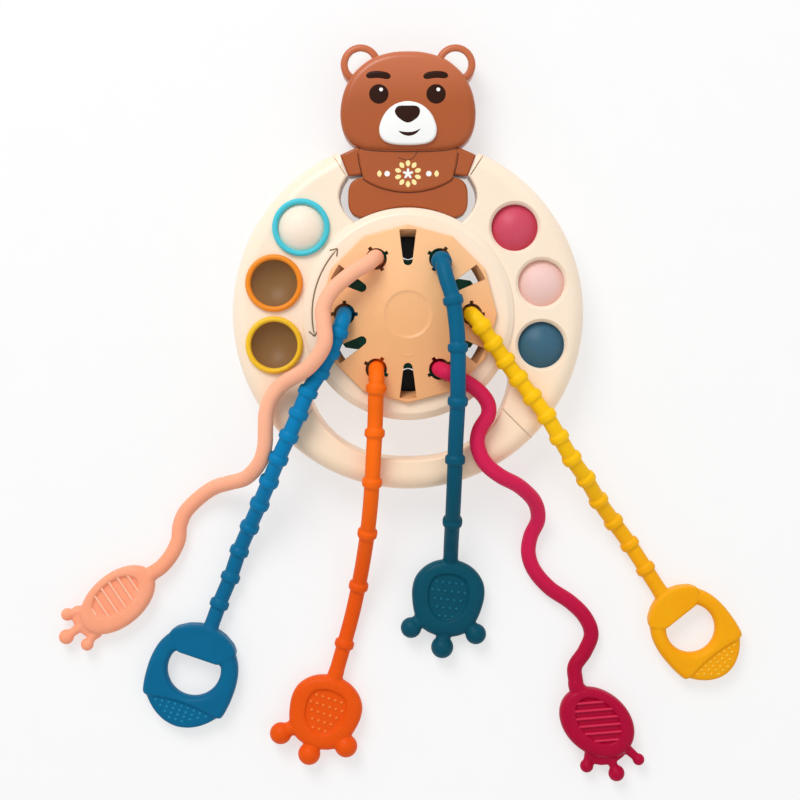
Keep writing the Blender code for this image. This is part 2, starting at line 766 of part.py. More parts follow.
def slot_cutter(name, angle, low, high, slope=0.0037):
    """A tapered slot that widens outwards, whose outer end slopes inwards on its way down."""
    bm = bmesh.new()
    rings = []
    for z, outer in ((low, SLOT_OUTER - slope), (high, SLOT_OUTER)):
        narrow = SLOT_NARROW / 2
        wide = SLOT_WIDE / 2
        points = [(outer, -wide), (outer, wide)]
        points += arc(narrow, math.pi / 2, 3 * math.pi / 2, 4, (SLOT_INNER + narrow, 0.0))
        rings.append([bm.verts.new((x, y, z)) for x, y in points])
    count = len(rings[0])
    for i in range(count):
        j = (i + 1) % count
        bm.faces.new((rings[0][i], rings[0][j], rings[1][j], rings[1][i]))
    bm.faces.new(rings[0])
    bm.faces.new(rings[1])
    bmesh.ops.triangulate(bm, faces=bm.faces)
    obj = place(name, mesh_from(bm, name))
    obj.matrix_world = turned_to(angle)
    return obj


def hub_front_cap():
    """A low twelve-sided cone with a dimple, a skirt that turns in the ring's bore, and three bosses."""
    finish = material("apricot plastic", APRICOT, 0.35)
    skirt = BORE_RADIUS - HUB_GAP
    inside = skirt - WALL
    under = HUB_TOP - WALL
    profile = [
        (0.0, HUB_TOP - DIMPLE_DEPTH),
        (DIMPLE_RADIUS - 0.002, HUB_TOP - DIMPLE_DEPTH),
        (DIMPLE_RADIUS, HUB_TOP),
        (HUB_RADIUS, HUB_RIM),
        (HUB_RADIUS, HUB_SEAT),
        (skirt, HUB_SEAT),
        (skirt, HUB_SEAT - SKIRT_DEPTH),
        (inside, HUB_SEAT - SKIRT_DEPTH),
        (inside, HUB_SEAT),
        (DIMPLE_RADIUS, under - DIMPLE_DEPTH),
        (0.0, under - DIMPLE_DEPTH),
    ]
    cap = turned("hub_front_cap", profile, HUB_SIDES, finish, closed=False)
    for i in range(3):
        angle = math.radians(30 + 120 * i)
        centre = ring_point(HUB_BOSS_CIRCLE, angle)
        foot = REAR_CAP_TOP + GAP
        join(cap, peg(f"hub boss {i}", HUB_BOSS_RADIUS, foot, HUB_TOP - 1.5 * WALL, centre, 10))
        top = REAR_CAP_BOTTOM + HUB_SCREW_LENGTH + GAP
        cut(cap, peg(f"hub pilot {i}", SCREW_SHANK_RADIUS + GAP, 0.0, top, centre, 8))
    for i in range(6):
        cut(
            cap,
            peg(
                f"string hole {i}",
                HOLE_RADIUS,
                HUB_SEAT - WALL,
                HUB_TOP + WALL,
                ring_point(HOLE_CIRCLE, math.radians(60 * i)),
                14,
            ),
        )
        cut(
            cap,
            slot_cutter(f"front slot {i}", math.radians(30 + 60 * i), HUB_SEAT - 3 * WALL, HUB_RIM + WALL),
        )
    return cap


def hub_rear_cap():
    """The flat twelve-sided back of the hub, in its recess in the ring's back."""
    finish = material("apricot plastic", APRICOT, 0.35)
    outline = arc(HUB_RADIUS, 0.0, 2 * math.pi, HUB_SIDES + 1)[:-1]
    cap = slab("hub_rear_cap", outline, REAR_CAP_BOTTOM, REAR_CAP_TOP, finish, 0.0005)
    for i in range(3):
        centre = ring_point(HUB_BOSS_CIRCLE, math.radians(30 + 120 * i))
        cut(cap, peg(f"rear clearance {i}", SCREW_SHANK_RADIUS + GAP, 0.0, 2 * REAR_CAP_TOP, centre, 8))
        head = SCREW_HEAD_RADIUS + GAP
        seat = REAR_CAP_BOTTOM + 0.0010
        cut(cap, peg(f"rear counterbore {i}", head, -WALL, seat, centre, 10))
    for i in range(6):
        angle = math.radians(30 + 60 * i)
        cut(cap, slot_cutter(f"rear slot {i}", angle, 0.0, 2 * REAR_CAP_TOP, 0.0))
    return cap


def click_wheel():
    """The lobed wheel on the hub's bosses. Its lobes click past the two pawls of the ring."""
    finish = material("green plastic", DARK_GREEN, 0.4)
    pitch = 2 * math.pi / WHEEL_LOBES
    middle = (WHEEL_RADIUS + WHEEL_VALLEY) / 2
    swing = (WHEEL_RADIUS - WHEEL_VALLEY) / 2
    outline = []
    for a in np.linspace(0, 2 * math.pi, WHEEL_LOBES * 8, endpoint=False):
        wave = math.cos((a - pitch / 2) * 2 * math.pi / pitch)
        fuller = math.copysign(abs(wave) ** 0.45, wave)
        radius = middle + swing * fuller
        outline.append((radius * math.cos(a), radius * math.sin(a)))
    low = REAR_CAP_TOP + HUB_GAP
    wheel = slab("click_wheel", outline, low, low + WHEEL_THICKNESS, finish)
    for i in range(3):
        centre = ring_point(HUB_BOSS_CIRCLE, math.radians(30 + 120 * i))
        cut(wheel, peg(f"wheel hole {i}", HUB_BOSS_RADIUS + GAP, 0.0, 0.01, centre, 10))
    return wheel


def click_pawl(name, angle):
    """A sprung pawl on the ring's bore. Its nose rides on the click wheel's lobes."""
    finish = material("black plastic", BLACK, 0.5)
    nose = WHEEL_RADIUS + GAP
    wide = PAWL_WIDTH / 2
    back = BORE_RADIUS - GAP - 0.0006
    outline = [
        (back, -wide),
        (back, wide),
        (back - 0.0015, wide),
        (nose + 0.0003, 0.0012),
        (nose, 0.0),
        (nose + 0.0003, -0.0012),
        (back - 0.0015, -wide),
    ]
    low = REAR_CAP_TOP + HUB_GAP
    return slab(name, outline, low, low + PAWL_HEIGHT, finish, matrix=turned_to(angle))


def popper(name, angle, rim_colour, dome_colour, stands_out, rim_in_front):
    """A clamped silicone ring and the dome inside it, which pops through to the other side."""
    centre = popper_centre(angle)
    rim_finish = material(f"{name} rim silicone", rim_colour, 0.45)
    top = FACE if rim_in_front else FACE - WALL - GAP
    sleeve = [(RIM_SLEEVE_RADIUS, top - RIM_SLEEVE), (RIM_BORE, top - RIM_SLEEVE)]
    if rim_in_front:
        bead = FACE + GAP
        middle = (RIM_RADIUS + RIM_BORE) / 2
        half = (RIM_RADIUS - RIM_BORE) / 2
        lift = RIM_HEIGHT - half
        curve = [
            (middle + half * math.cos(a), bead + lift + half * math.sin(a))
            for a in np.linspace(math.pi, 0, 4)
        ]
        head = [*curve, (RIM_RADIUS, bead), (RIM_SLEEVE_RADIUS, bead)]
    else:
        head = [(RIM_BORE, top), (RIM_SLEEVE_RADIUS, top)]
    turned(f"popper_rim_{name}", head + sleeve, 18, rim_finish, centre)
    edge = top if rim_in_front else FACE - DOME_HEIGHT
    radius = (DOME_RADIUS**2 + DOME_HEIGHT**2) / (2 * DOME_HEIGHT)
    reach = math.asin(DOME_RADIUS / radius)
    outside = [
        (radius * math.sin(a), radius * math.cos(a) - radius + DOME_HEIGHT)
        for a in np.linspace(0, reach, 4)
    ]
    inside = [(r * 0.94, z - DOME_WALL) for r, z in reversed([outside[0], outside[2], outside[3]])]
    profile = outside + inside
    if not stands_out:
        profile = [(r, -z) for r, z in reversed(profile)]
    profile = [(r, z + edge) for r, z in profile]
    dome_finish = material(f"{name} dome silicone", dome_colour, 0.5)
    turned(f"popper_dome_{name}", profile, 16, dome_finish, centre, closed=False)


def screw(name, centre, head_at, head, length):
    """A self-tapping screw driven from the back, with its head's top at head_at."""
    finish = material("steel", STEEL, 0.3, 1.0)
    profile = [
        (0.0, head_at + length),
        (SCREW_SHANK_RADIUS * 0.5, head_at + length),
        (SCREW_SHANK_RADIUS, head_at + length - 0.0015),
        (SCREW_SHANK_RADIUS, head_at),
        (SCREW_HEAD_RADIUS, head_at),
        (SCREW_HEAD_RADIUS, head_at - head * 0.6),
        (SCREW_HEAD_RADIUS * 0.7, head_at - head),
        (0.0, head_at - head),
    ]
    return turned(name, profile, 6, finish, centre, closed=False)


def screws():
    for i, centre in enumerate(screw_centres()):
        screw(f"shell_screw_{i + 1}", centre, SCREW_SEAT, SCREW_HEAD_HEIGHT, SHELL_SCREW_LENGTH - GAP)
    for i in range(3):
        centre = ring_point(HUB_BOSS_CIRCLE, math.radians(30 + 120 * i))
        seat = REAR_CAP_BOTTOM + 0.0010 - GAP
        screw(f"hub_screw_{i + 1}", centre, seat, 0.0010, HUB_SCREW_LENGTH - 0.0020)


def smooth_line(points):
    """Close points of a Catmull-Rom curve through the given ones, and how far along it each is."""
    p = np.asarray(points, float)
    p = np.vstack([2 * p[0] - p[1], p, 2 * p[-1] - p[-2]])
    fine = []
    for i in range(1, len(p) - 2):
        t = np.linspace(0, 1, 12, endpoint=False)[:, None]
        a, b, c, d = p[i - 1 : i + 3]
        fine.append(
            0.5
            * (
                2 * b
                + (c - a) * t
                + (2 * a - 5 * b + 4 * c - d) * t**2
                + (3 * b - a - 3 * c + d) * t**3
            )
        )
    fine = np.vstack([*fine, p[-2:-1]])
    along = np.concatenate([[0], np.cumsum(np.linalg.norm(np.diff(fine, axis=0), axis=1))])
    return fine, along


def string_line(name, hole_angle, tier):
    """The whole centreline of a half string: from the middle of the hub, up through its hole, and on."""
    angle = math.radians(hole_angle)
    way = np.array([math.cos(angle), math.sin(angle), 0.0])
    up = np.array([0.0, 0.0, 1.0])
    height = TOP_TIER - tier * TIER_STEP
    inner = [way * r + up * height for r in (GAP, 0.009, 0.016)]
    start = HOLE_CIRCLE - INNER_BEND
    for turn in np.radians([0, 30, 60, 90]):
        r = start + INNER_BEND * math.sin(turn)
        inner.append(way * r + up * (height + INNER_BEND * (1 - math.cos(turn))))
    last = height + INNER_BEND
    if last < HUB_SEAT - WALL:
        inner.append(way * HOLE_CIRCLE + up * (HUB_SEAT - WALL / 2))
    outer = [np.array(point) * MM for point in ROUTES[name]]
    fine, along = smooth_line(inner + outer)
    start_of_route = np.linalg.norm(fine - outer[0], axis=1).argmin()
    return fine + np.array([0.0, RING_Y, 0.0]), along, along[start_of_route]


def at(fine, along, places):
    return np.column_stack([np.interp(places, along, fine[:, k]) for k in range(3)])


def string(name, colour, hole_angle, tier, pitch, first_rib):
    """A silicone tube with its stop rib inside the hub, and its ribs outside if it has any."""
    fine, along, route_start = string_line(name, hole_angle, tier)
    total = along[-1] - GAP
    half = RIB_LENGTH / 2
    ribs = [(STOP_RIB_PLACE, STOP_RIB_RADIUS)]
    if pitch:
        rib = route_start + first_rib
        while rib < total - 1.5 * RIB_LENGTH:
            ribs.append((rib, RIB_RADIUS))
            rib += pitch
    stations = [(0.0, 1.0), (total, 1.0)]
    for middle, radius in ribs:
        swell = radius / CORD_RADIUS
        for offset, size in ((-half, 1.0), (0.0, swell), (half, 1.0)):
            stations.append((middle + offset, size))
    step = 2.7 * CORD_RADIUS
    for place_along in np.arange(step, total, step):
        if all(abs(place_along - middle) > half + 0.6 * step for middle, _ in ribs):
            stations.append((place_along, 1.0))
    for place_along in np.arange(0.0190, route_start + 0.012, 0.0036):
        if all(abs(place_along - other) > 0.0026 for other, _ in stations):
            stations.append((place_along, 1.0))
    stations.sort()
    places = np.array([s for s, _ in stations])
    points = at(fine, along, places)
    curve = bpy.data.curves.new(f"string_{name}", "CURVE")
    curve.dimensions = "3D"
    curve.bevel_depth = CORD_RADIUS
    curve.bevel_resolution = 2 if pitch else 1
    curve.use_fill_caps = True
    spline = curve.splines.new("POLY")
    spline.points.add(len(points) - 1)
    for point, co, (_, size) in zip(spline.points, points, stations):
        point.co = (*co, 1.0)
        point.radius = size
    obj = bpy.data.objects.new(f"string_{name}", curve)
    TOY.objects.link(obj)
    curve.materials.append(material(f"{name} silicone", colour, 0.45))
    tangent = at(fine, along, [total]) - at(fine, along, [total - 0.004])
    print(f"string {name}: {total * 1000:.0f} mm, of which {(total - route_start) * 1000:.0f} mm outside")
    return points[-1], tangent[0]


def tab_frame(centre, angle):
    """A tab's own frame: +X away from its string, lying at the tabs' height."""
    return Matrix.Translation((centre[0], RING_Y + centre[1], TAB_Z)) @ Matrix.Rotation(angle, 4, "Z")


def stub(name, start, end, radius, matrix, steps=10):
    """A round bar between two points of a tab's frame."""
    a = Vector((*start, 0.0))
    b = Vector((*end, 0.0))
    bm = bmesh.new()
    bmesh.ops.create_cone(
        bm, cap_ends=True, segments=steps, radius1=radius, radius2=radius, depth=(b - a).length
    )
    obj = place(name, mesh_from(bm, name))
    turn = (b - a).to_track_quat("Z", "Y").to_matrix().to_4x4()
    obj.matrix_world = matrix @ Matrix.Translation((a + b) / 2) @ turn
    return obj


def tube(name, points, sizes, radius):
    """A round bar along world points, with its radius scaled by each point's size."""
    curve = bpy.data.curves.new(name, "CURVE")
    curve.dimensions = "3D"
    curve.bevel_depth = radius
    curve.bevel_resolution = 1
    curve.use_fill_caps = True
    spline = curve.splines.new("POLY")
    spline.points.add(len(points) - 1)
    for point, co, size in zip(spline.points, points, sizes):
        point.co = (*co, 1.0)
        point.radius = size
    obj = bpy.data.objects.new(name, curve)
    TOY.objects.link(obj)
    return place(name, as_mesh(obj, name))


def neck(tab, name, end, direction, matrix, reach):
    """The root of the string on the tab: a bar that starts square to the string's end."""
    along = Vector(direction).normalized()
    start = Vector(end) + along * GAP
    local = matrix.inverted() @ start
    inside = matrix @ Vector((-reach, local.y * 0.6, 0.0))
    points = [start, start + along * 0.0025, inside]
    return join(tab, tube(f"{name} neck", points, (1.0, 1.0, 1.1), CORD_RADIUS))


def ellipse(half_long, half_wide, count, turn=0.0):
    points = []
    for a in np.linspace(0, 2 * math.pi, count, endpoint=False):
        x = half_long * math.cos(a)
        y = half_wide * math.sin(a)
        c = math.cos(turn)
        s = math.sin(turn)
        points.append((x * c - y * s, x * s + y * c))
    return points


def oval_tab(name, colour, centre, angle, end, direction, size, turn, rib_turn):
    """An oval paddle with a ribbed window on both faces, and three small knobs on a web."""
    finish = material(f"{name} silicone", colour, 0.45)
    matrix = tab_frame(centre, angle)
    half = TAB_THICKNESS / 2
    long = 0.0192 * size
    wide = 0.0131 * size
    tab = slab(
        f"pull_tab_{name}", ellipse(long, wide, 24, turn), -half, half, finish, 0.0030, matrix=matrix
    )
    web = [(0.6, -0.72), (1.10, -0.52), (1.16, -0.20), (1.34, 0.0), (1.16, 0.20), (1.10, 0.52), (0.6, 0.72)]
    outline = [(x * long, y * long * 0.9) for x, y in web]
    join(tab, slab(f"{name} web", outline, -0.0020, 0.0020, matrix=matrix))
    knobs = [((1.28, -0.50), 0.0029), ((1.62, 0.02), 0.0034), ((1.28, 0.50), 0.0029)]
    for i, ((x, y), radius) in enumerate(knobs):
        at_knob = (x * long, y * long)
        root = (x * long * 0.72, y * long * 0.72)
        join(tab, stub(f"{name} toe {i}", root, at_knob, 0.0018, matrix, 8))
        join(tab, ball(f"{name} knob {i}", radius * size, (*at_knob, 0.0), matrix, 8))
    for face in (-1, 1):
        window = slab(
            f"{name} window {face}",
            ellipse(long * 0.66, wide * 0.60, 16, turn),
            *sorted((face * (half - WINDOW_DEPTH), face * (half + WALL))),
            matrix=matrix,
        )
        for i in range(6 if face > 0 else 0):
            along = (i - 2.5) * long * 0.225
            bar = matrix @ Matrix.Rotation(rib_turn, 4, "Z")
            bar = bar @ Matrix.Translation((along, 0.0, face * half))
            cut(window, block(f"{name} rib {face} {i}", (0.0011, 2 * wide, 2 * WALL), bar))
        cut(tab, window)
    return neck(tab, name, end, direction, matrix, long * 0.7)


def both_sides(right, size=1.0):
    """A closed outline from the points of one side, in millimetres, which run away from the string."""
    left = [(x, -y) for x, y in reversed(right) if y > 0]
    return [(x * size * MM, y * MM) for x, y in right + left]


PAW = [
    (-18.4, 0), (-17.6, 6.4), (-14.4, 12.2), (-9.2, 16.2), (-3.2, 17.9), (4, 17.4), (10, 15.4),
    (14.6, 12.4), (17.6, 7.6), (18.9, 0),
]
PAW_WINDOW = [
    (-10.6, 0), (-10.0, 4.8), (-7.4, 8.4), (-2.2, 9.8), (4, 8.9), (9, 6.3), (12, 3), (12.9, 0),
]


def paw_tab(name, colour, centre, angle, end, direction, size):
    """A paw: a rounded pad with a dished window on both faces, and three round toes."""
    finish = material(f"{name} silicone", colour, 0.45)
    matrix = tab_frame(centre, angle)
    half = TAB_THICKNESS / 2
    outline = both_sides(PAW, size)
    tab = slab(f"pull_tab_{name}", outline, -half, half, finish, 0.0032, matrix=matrix)
    toe = 0.0055
    lift = toe - TAB_Z + GAP
    for i, (x, y) in enumerate(((0.0163, -0.0156), (0.0246, 0.0), (0.0163, 0.0156))):
        where = (x * size, y, lift)
        join(tab, stub(f"{name} toe root {i}", (x * size * 0.6, y * 0.6), (x * size, y), 0.0036, matrix, 8))
        join(tab, ball(f"{name} toe {i}", toe, where, matrix))
    for face in (-1, 1):
        window = slab(
            f"{name} window {face}",
            both_sides(PAW_WINDOW, size),
            *sorted((face * (half - WINDOW_DEPTH), face * (half + WALL))),
            matrix=matrix,
        )
        cut(tab, window)
    return neck(tab, name, end, direction, matrix, 0.013)


def loop_tab(name, colour, centre, angle, end, direction):
    """A finger loop: a thick cap at the string, a D-shaped hole, and a thinner dotted crescent."""
    finish = material(f"{name} silicone", colour, 0.45)
    matrix = tab_frame(centre, angle)
    half = TAB_THICKNESS / 2
    right = [
        (-0.0170, 0.0060),
        (-0.0142, 0.0148),
        (-0.0080, 0.0184),
        (0.0000, 0.0199),
        (0.0100, 0.0198),
        (0.0170, 0.0180),
        (0.0215, 0.0130),
        (0.0248, 0.0070),
        (0.0262, 0.0),
    ]
    outline = right + [(x, -y) for x, y in reversed(right) if y > 0]
    tab = slab(f"pull_tab_{name}", outline, -half + 0.0004, half - 0.0004, finish, 0.0028, matrix=matrix)
    chord = 0.0070
    hole = 0.0122
    reach = math.acos(chord / hole)
    ring = arc(hole, math.pi - reach, -math.pi + reach, 24)
    cut(tab, slab(f"{name} hole", ring, -2 * half, 2 * half, matrix=matrix))
    cap = arc(0.0222, math.pi - 0.76, math.pi + 0.76, 9, (0.0025, 0.0))
    cap += [(-chord - GAP, -0.0096), (-chord + GAP, 0.0), (-chord - GAP, 0.0096)]
    join(tab, slab(f"{name} cap", cap, -half, half, rounding=0.0012, matrix=matrix))
    bend = arc(0.0340, math.radians(34), math.radians(-34), 9, (-0.0194, 0.0))
    away = [(0.040, -0.024), (0.040, 0.024)]
    for face in (-1, 1):
        thin = slab(
            f"{name} crescent {face}",
            bend + away,
            *sorted((face * (half - 0.0017), face * 2 * half)),
            matrix=matrix,
        )
        cut(tab, thin)
    return neck(tab, name, end, direction, matrix, 0.0175)


def strings_and_tabs():
    ends = {}
    for row in STRINGS:
        ends[row[0]] = string(*row)
    oval_tab("salmon", SALMON, (-0.1359, -0.1336), math.radians(-139), *ends["salmon"], 1.0, -0.06, 0.0)
    oval_tab("crimson", CRIMSON, (0.0883, -0.1903), math.radians(-69), *ends["crimson"], 1.04, 0.26, -0.22)
    paw_tab("orange", ORANGE, (-0.0389, -0.1862), math.radians(-108), *ends["orange"], 0.90)
    paw_tab("teal", TEAL, (0.0184, -0.1343), math.radians(-96.5), *ends["teal"], 1.0)
    loop_tab("blue", BLUE, (-0.1004, -0.1670), math.radians(-109), *ends["blue"])
    loop_tab("yellow", YELLOW, (0.1322, -0.1467), math.radians(-51), *ends["yellow"])


front_shell()
rear_shell()
grip_handle()
bear_half("bear_front_shell", True)
bear_half("bear_rear_shell", False)
bear_muzzle()
hub_front_cap()
hub_rear_cap()
click_wheel()
click_pawl("click_pawl_upper", math.pi / 2)
click_pawl("click_pawl_lower", -math.pi / 2)
for row in POPPERS:
    popper(*row)
screws()
strings_and_tabs()
merge_flats(TOY.objects)
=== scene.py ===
import bmesh
import bpy
import numpy as np
from mathutils import Matrix, Vector


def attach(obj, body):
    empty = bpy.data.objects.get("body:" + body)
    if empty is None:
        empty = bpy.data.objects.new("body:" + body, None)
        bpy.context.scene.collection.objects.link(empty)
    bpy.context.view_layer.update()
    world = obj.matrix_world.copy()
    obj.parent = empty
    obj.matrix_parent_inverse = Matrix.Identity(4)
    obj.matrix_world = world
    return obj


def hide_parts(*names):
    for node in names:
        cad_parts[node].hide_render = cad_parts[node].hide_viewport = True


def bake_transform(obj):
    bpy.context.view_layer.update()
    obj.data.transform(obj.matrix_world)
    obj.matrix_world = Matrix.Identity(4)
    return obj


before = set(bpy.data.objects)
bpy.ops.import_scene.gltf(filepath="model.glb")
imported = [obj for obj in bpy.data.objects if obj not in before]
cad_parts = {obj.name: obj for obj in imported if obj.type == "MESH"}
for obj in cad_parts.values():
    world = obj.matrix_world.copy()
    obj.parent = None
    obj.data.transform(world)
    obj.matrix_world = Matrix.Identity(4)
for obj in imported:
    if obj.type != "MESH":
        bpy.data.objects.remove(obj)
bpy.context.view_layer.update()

mm = 0.001
ringY = -0.0213  # the ring's centre in y
print("frame loaded")


def meshOf(name, points, faces):
    # a mesh from whole arrays of points and faces, smooth, with its faces turned outwards
    mesh = bpy.data.meshes.new(name)
    mesh.from_pydata(np.asarray(points).tolist(), [], faces)
    bm = bmesh.new()
    bm.from_mesh(mesh)
    bmesh.ops.remove_doubles(bm, verts=bm.verts, dist=1e-7)
    bmesh.ops.recalc_face_normals(bm, faces=bm.faces)
    bm.to_mesh(mesh)
    bm.free()
    mesh.shade_smooth()
    return mesh


def newObject(name, data):
    obj = bpy.data.objects.new(name, data)
    bpy.context.scene.collection.objects.link(obj)
    return obj


def discard(obj):
    mesh = obj.data
    bpy.data.objects.remove(obj, do_unlink=True)
    bpy.data.meshes.remove(mesh)


def joinTo(obj, *meshes):
    # the meshes' vertices and faces after the object's own
    bm = bmesh.new()
    for mesh in (obj.data, *meshes):
        bm.from_mesh(mesh)
    bm.to_mesh(obj.data)
    bm.free()


def roundAngles(count):
    # equal steps of one whole turn, in radians
    return np.linspace(0, 2 * np.pi, count, endpoint=False)


def polar(r, a, centre=(0.0, 0.0)):
    # x = r cos a, y = r sin a, from the centre
    return centre[0] + r * np.cos(a), centre[1] + r * np.sin(a)


def gridFaces(rows, cols, closedRows=False, start=0):
    # quads (i, j), (i, j+1), (i+1, j+1), (i+1, j) of a grid whose columns always wrap round
    i = np.arange(rows if closedRows else rows - 1)[:, None]
    j = np.arange(cols)[None, :]
    k = (j + 1) % cols
    n = (i + 1) % rows
    return start + np.stack([i * cols + j, i * cols + k, n * cols + k, n * cols + j], -1).reshape(-1, 4)


def closedGrid(grid, closedRows=False):
    # a tube of rings; unless its rows wrap too, a middle point closes each end with a fan
    rows, cols = grid.shape[:2]
    points = grid.reshape(-1, 3)
    faces = gridFaces(rows, cols, closedRows).tolist()
    if not closedRows:
        ends = np.array([grid[0].mean(0), grid[-1].mean(0)])
        points = np.vstack([points, ends])
        j = np.arange(cols)
        k = (j + 1) % cols
        first = rows * cols
        last = (rows - 1) * cols
        faces += np.stack([k, j, np.full(cols, first)], -1).tolist()
        faces += np.stack([last + j, last + k, np.full(cols, first + 1)], -1).tolist()
    return points, faces


def gather(parts):
    # several (points, faces) pairs as one
    points = []
    faces = []
    count = 0
    for partPoints, partFaces in parts:
        points.append(np.asarray(partPoints))
        faces += [[count + v for v in face] for face in partFaces]
        count += len(partPoints)
    return np.vstack(points), faces


def addPiece(name, shape, finish, body=None):
    # a visible piece from its (points, faces), on its body where it has one
    obj = newObject(name, meshOf(name, *shape))
    obj.data.materials.append(finish)
    if body:
        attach(obj, body)
    return obj


def finished(obj):
    # the object's mesh after its modifiers, in place of its own
    bpy.context.view_layer.update()
    shape = obj.evaluated_get(bpy.context.evaluated_depsgraph_get())
    mesh = bpy.data.meshes.new_from_object(shape)
    old = obj.data
    obj.modifiers.clear()
    mesh.name = old.name
    obj.data = mesh
    bpy.data.meshes.remove(old)
    return obj


def carve(obj, cutters, keepInside=False):
    # takes each cutter's solid out of the object, or keeps only what lies in it
    for cutter in cutters:
        cut = obj.modifiers.new("carve", "BOOLEAN")
        cut.operation = "INTERSECT" if keepInside else "DIFFERENCE"
        cut.object = cutter
    finished(obj)
    for cutter in cutters:
        discard(cutter)
    return obj


def evenNormals(obj, angle=32):
    # smooth shading that keeps large flat faces flat, and edges over that angle sharp
    obj.data.shade_smooth()
    obj.data.set_sharp_from_angle(angle=np.radians(angle))
    weighted = obj.modifiers.new("even normals", "WEIGHTED_NORMAL")
    weighted.keep_sharp = True
    weighted.weight = 60
    return finished(obj)


def lathe(profile, steps, centre=(0.0, ringY), closedRows=True):
    # (r, z) carried round the vertical axis at centre: x = r cos a, y = r sin a
    profile = np.asarray(profile, float)
    a = roundAngles(steps)
    grid = np.empty((len(profile), steps, 3))
    grid[..., 0], grid[..., 1] = polar(profile[:, :1], a, centre)
    grid[..., 2] = profile[:, 1:]
    return closedGrid(grid, closedRows)


def fillet(corner, before, after, radius, count=6):
    # points of a quarter round at a corner, from its side before to its side after
    c = np.asarray(corner, float)
    u = np.asarray(before, float) - c
    v = np.asarray(after, float) - c
    u /= np.linalg.norm(u)
    v /= np.linalg.norm(v)
    half = np.arccos(np.clip(u @ v, -1, 1)) / 2
    reach = radius / np.tan(half)
    a = c + u * reach
    b = c + v * reach
    middle = c + (u + v) / np.linalg.norm(u + v) * radius / np.sin(half)
    t = np.linspace(0, 1, count)[:, None]
    chord = a + (b - a) * t - middle
    return middle + chord / np.linalg.norm(chord, axis=1)[:, None] * radius


def softened(points, radii, closed=True):
    # a profile with each corner rounded by its own radius, or left as it is where that is 0
    points = [np.asarray(p, float) for p in points]
    count = len(points)
    out = []
    for i, radius in enumerate(radii):
        if radius <= 0 or (not closed and i in (0, count - 1)):
            out.append(points[i][None, :])
        else:
            steps = 14 if radius > 3 * mm else 6
            out.append(fillet(points[i], points[i - 1], points[(i + 1) % count], radius, steps))
    return np.vstack(out)


def splineThrough(points, perSpan=12, closed=False):
    # uniform Catmull-Rom: the cubic through b and c whose slopes there are (c-a)/2 and (d-b)/2
    p = np.asarray(points, float)
    if closed:
        p = np.vstack([p[-1], p, p[0], p[1]])
    else:
        p = np.vstack([2 * p[0] - p[1], p, 2 * p[-1] - p[-2]])
    t = np.linspace(0, 1, perSpan, endpoint=False)[None, :, None]
    a, b, c, d = (p[k:len(p) - 3 + k][:, None, :] for k in range(4))
    fine = 0.5 * (2 * b + (c - a) * t + (2 * a - 5 * b + 4 * c - d) * t**2 + (3 * b - a - 3 * c + d) * t**3)
    fine = fine.reshape(-1, p.shape[1])
    return fine if closed else np.vstack([fine, p[-2]])


def alongLine(line):
    # the distance along a line to each of its points
    return np.concatenate([[0], np.cumsum(np.linalg.norm(np.diff(line, axis=0), axis=1))])


def pointsAt(where, line, along):
    # the line's points at those distances along it
    return np.column_stack([np.interp(where, along, line[:, k]) for k in range(line.shape[1])])


def evenly(line, count, closed=True):
    # a line or a closed outline again, at equal steps along its length
    line = np.vstack([line, line[:1]]) if closed else line
    along = alongLine(line)
    return pointsAt(np.linspace(0, along[-1], count, endpoint=not closed), line, along)


def roundedOutline(outline, count=360, passes=4, reach=3):
    # the outline at equal steps, each point then the mean of its neighbours, which rounds corners
    loop = evenly(np.asarray(outline, float), count)
    for _ in range(passes):
        loop = np.mean([np.roll(loop, s, axis=0) for s in range(-reach, reach + 1)], axis=0)
    return loop


def tangents(line):
    # unit vectors along a line, from the difference of each point's neighbours
    way = np.gradient(line, axis=0)
    return way / np.linalg.norm(way, axis=1)[:, None]


def toLeft(line):
    # unit vectors square to a flat line, on its left
    way = tangents(line)
    return np.column_stack([-way[:, 1], way[:, 0]])


def signedPower(values, power):
    # |v|^p with the sign of v
    return np.sign(values) * np.abs(values) ** power


def anticlockwise(outline):
    # turned round where its area, half the sum of x dy - y dx, is negative
    x, y = np.asarray(outline, float).T
    area = np.sum(x * np.roll(y, -1) - y * np.roll(x, -1))
    return np.asarray(outline, float)[:: 1 if area > 0 else -1]


def atHeight(outline, z):
    # a flat outline's points, all at one z
    return np.column_stack([outline, np.full(len(outline), z)])


def prism(outlines, heights):
    # outlines of equal count stacked at those heights
    return closedGrid(np.stack([atHeight(outline, z) for outline, z in zip(outlines, heights)]))


def cutterOf(points, faces):
    return newObject("cutter", meshOf("cutter", points, faces))


def polarOutline(outline, centre, angles):
    # distance from the centre to the outline at each angle
    p = np.asarray(outline, float) - centre
    a = np.mod(np.arctan2(p[:, 1], p[:, 0]), 2 * np.pi)
    order = np.argsort(a)
    a = a[order]
    r = np.linalg.norm(p, axis=1)[order]
    a = np.concatenate([a - 2 * np.pi, a, a + 2 * np.pi])
    return np.interp(np.mod(angles, 2 * np.pi), a, np.tile(r, 3))


def tubeGrid(line, radii, sides):
    # rings square to the line, their frames carried along it by the least turn
    line = np.asarray(line, float)
    tangent = tangents(line)
    side = np.cross(tangent[0], [0.3, 0.2, 1.0])
    sidesOf = []
    for t in tangent:
        side = side - t * (side @ t)
        side /= np.linalg.norm(side)
        sidesOf.append(side)
    across = np.array(sidesOf)[:, None, :]
    up = np.cross(tangent, across[:, 0])[:, None, :]
    a = roundAngles(sides)[None, :, None]
    return line[:, None, :] + np.asarray(radii)[:, None, None] * (across * np.cos(a) + up * np.sin(a))


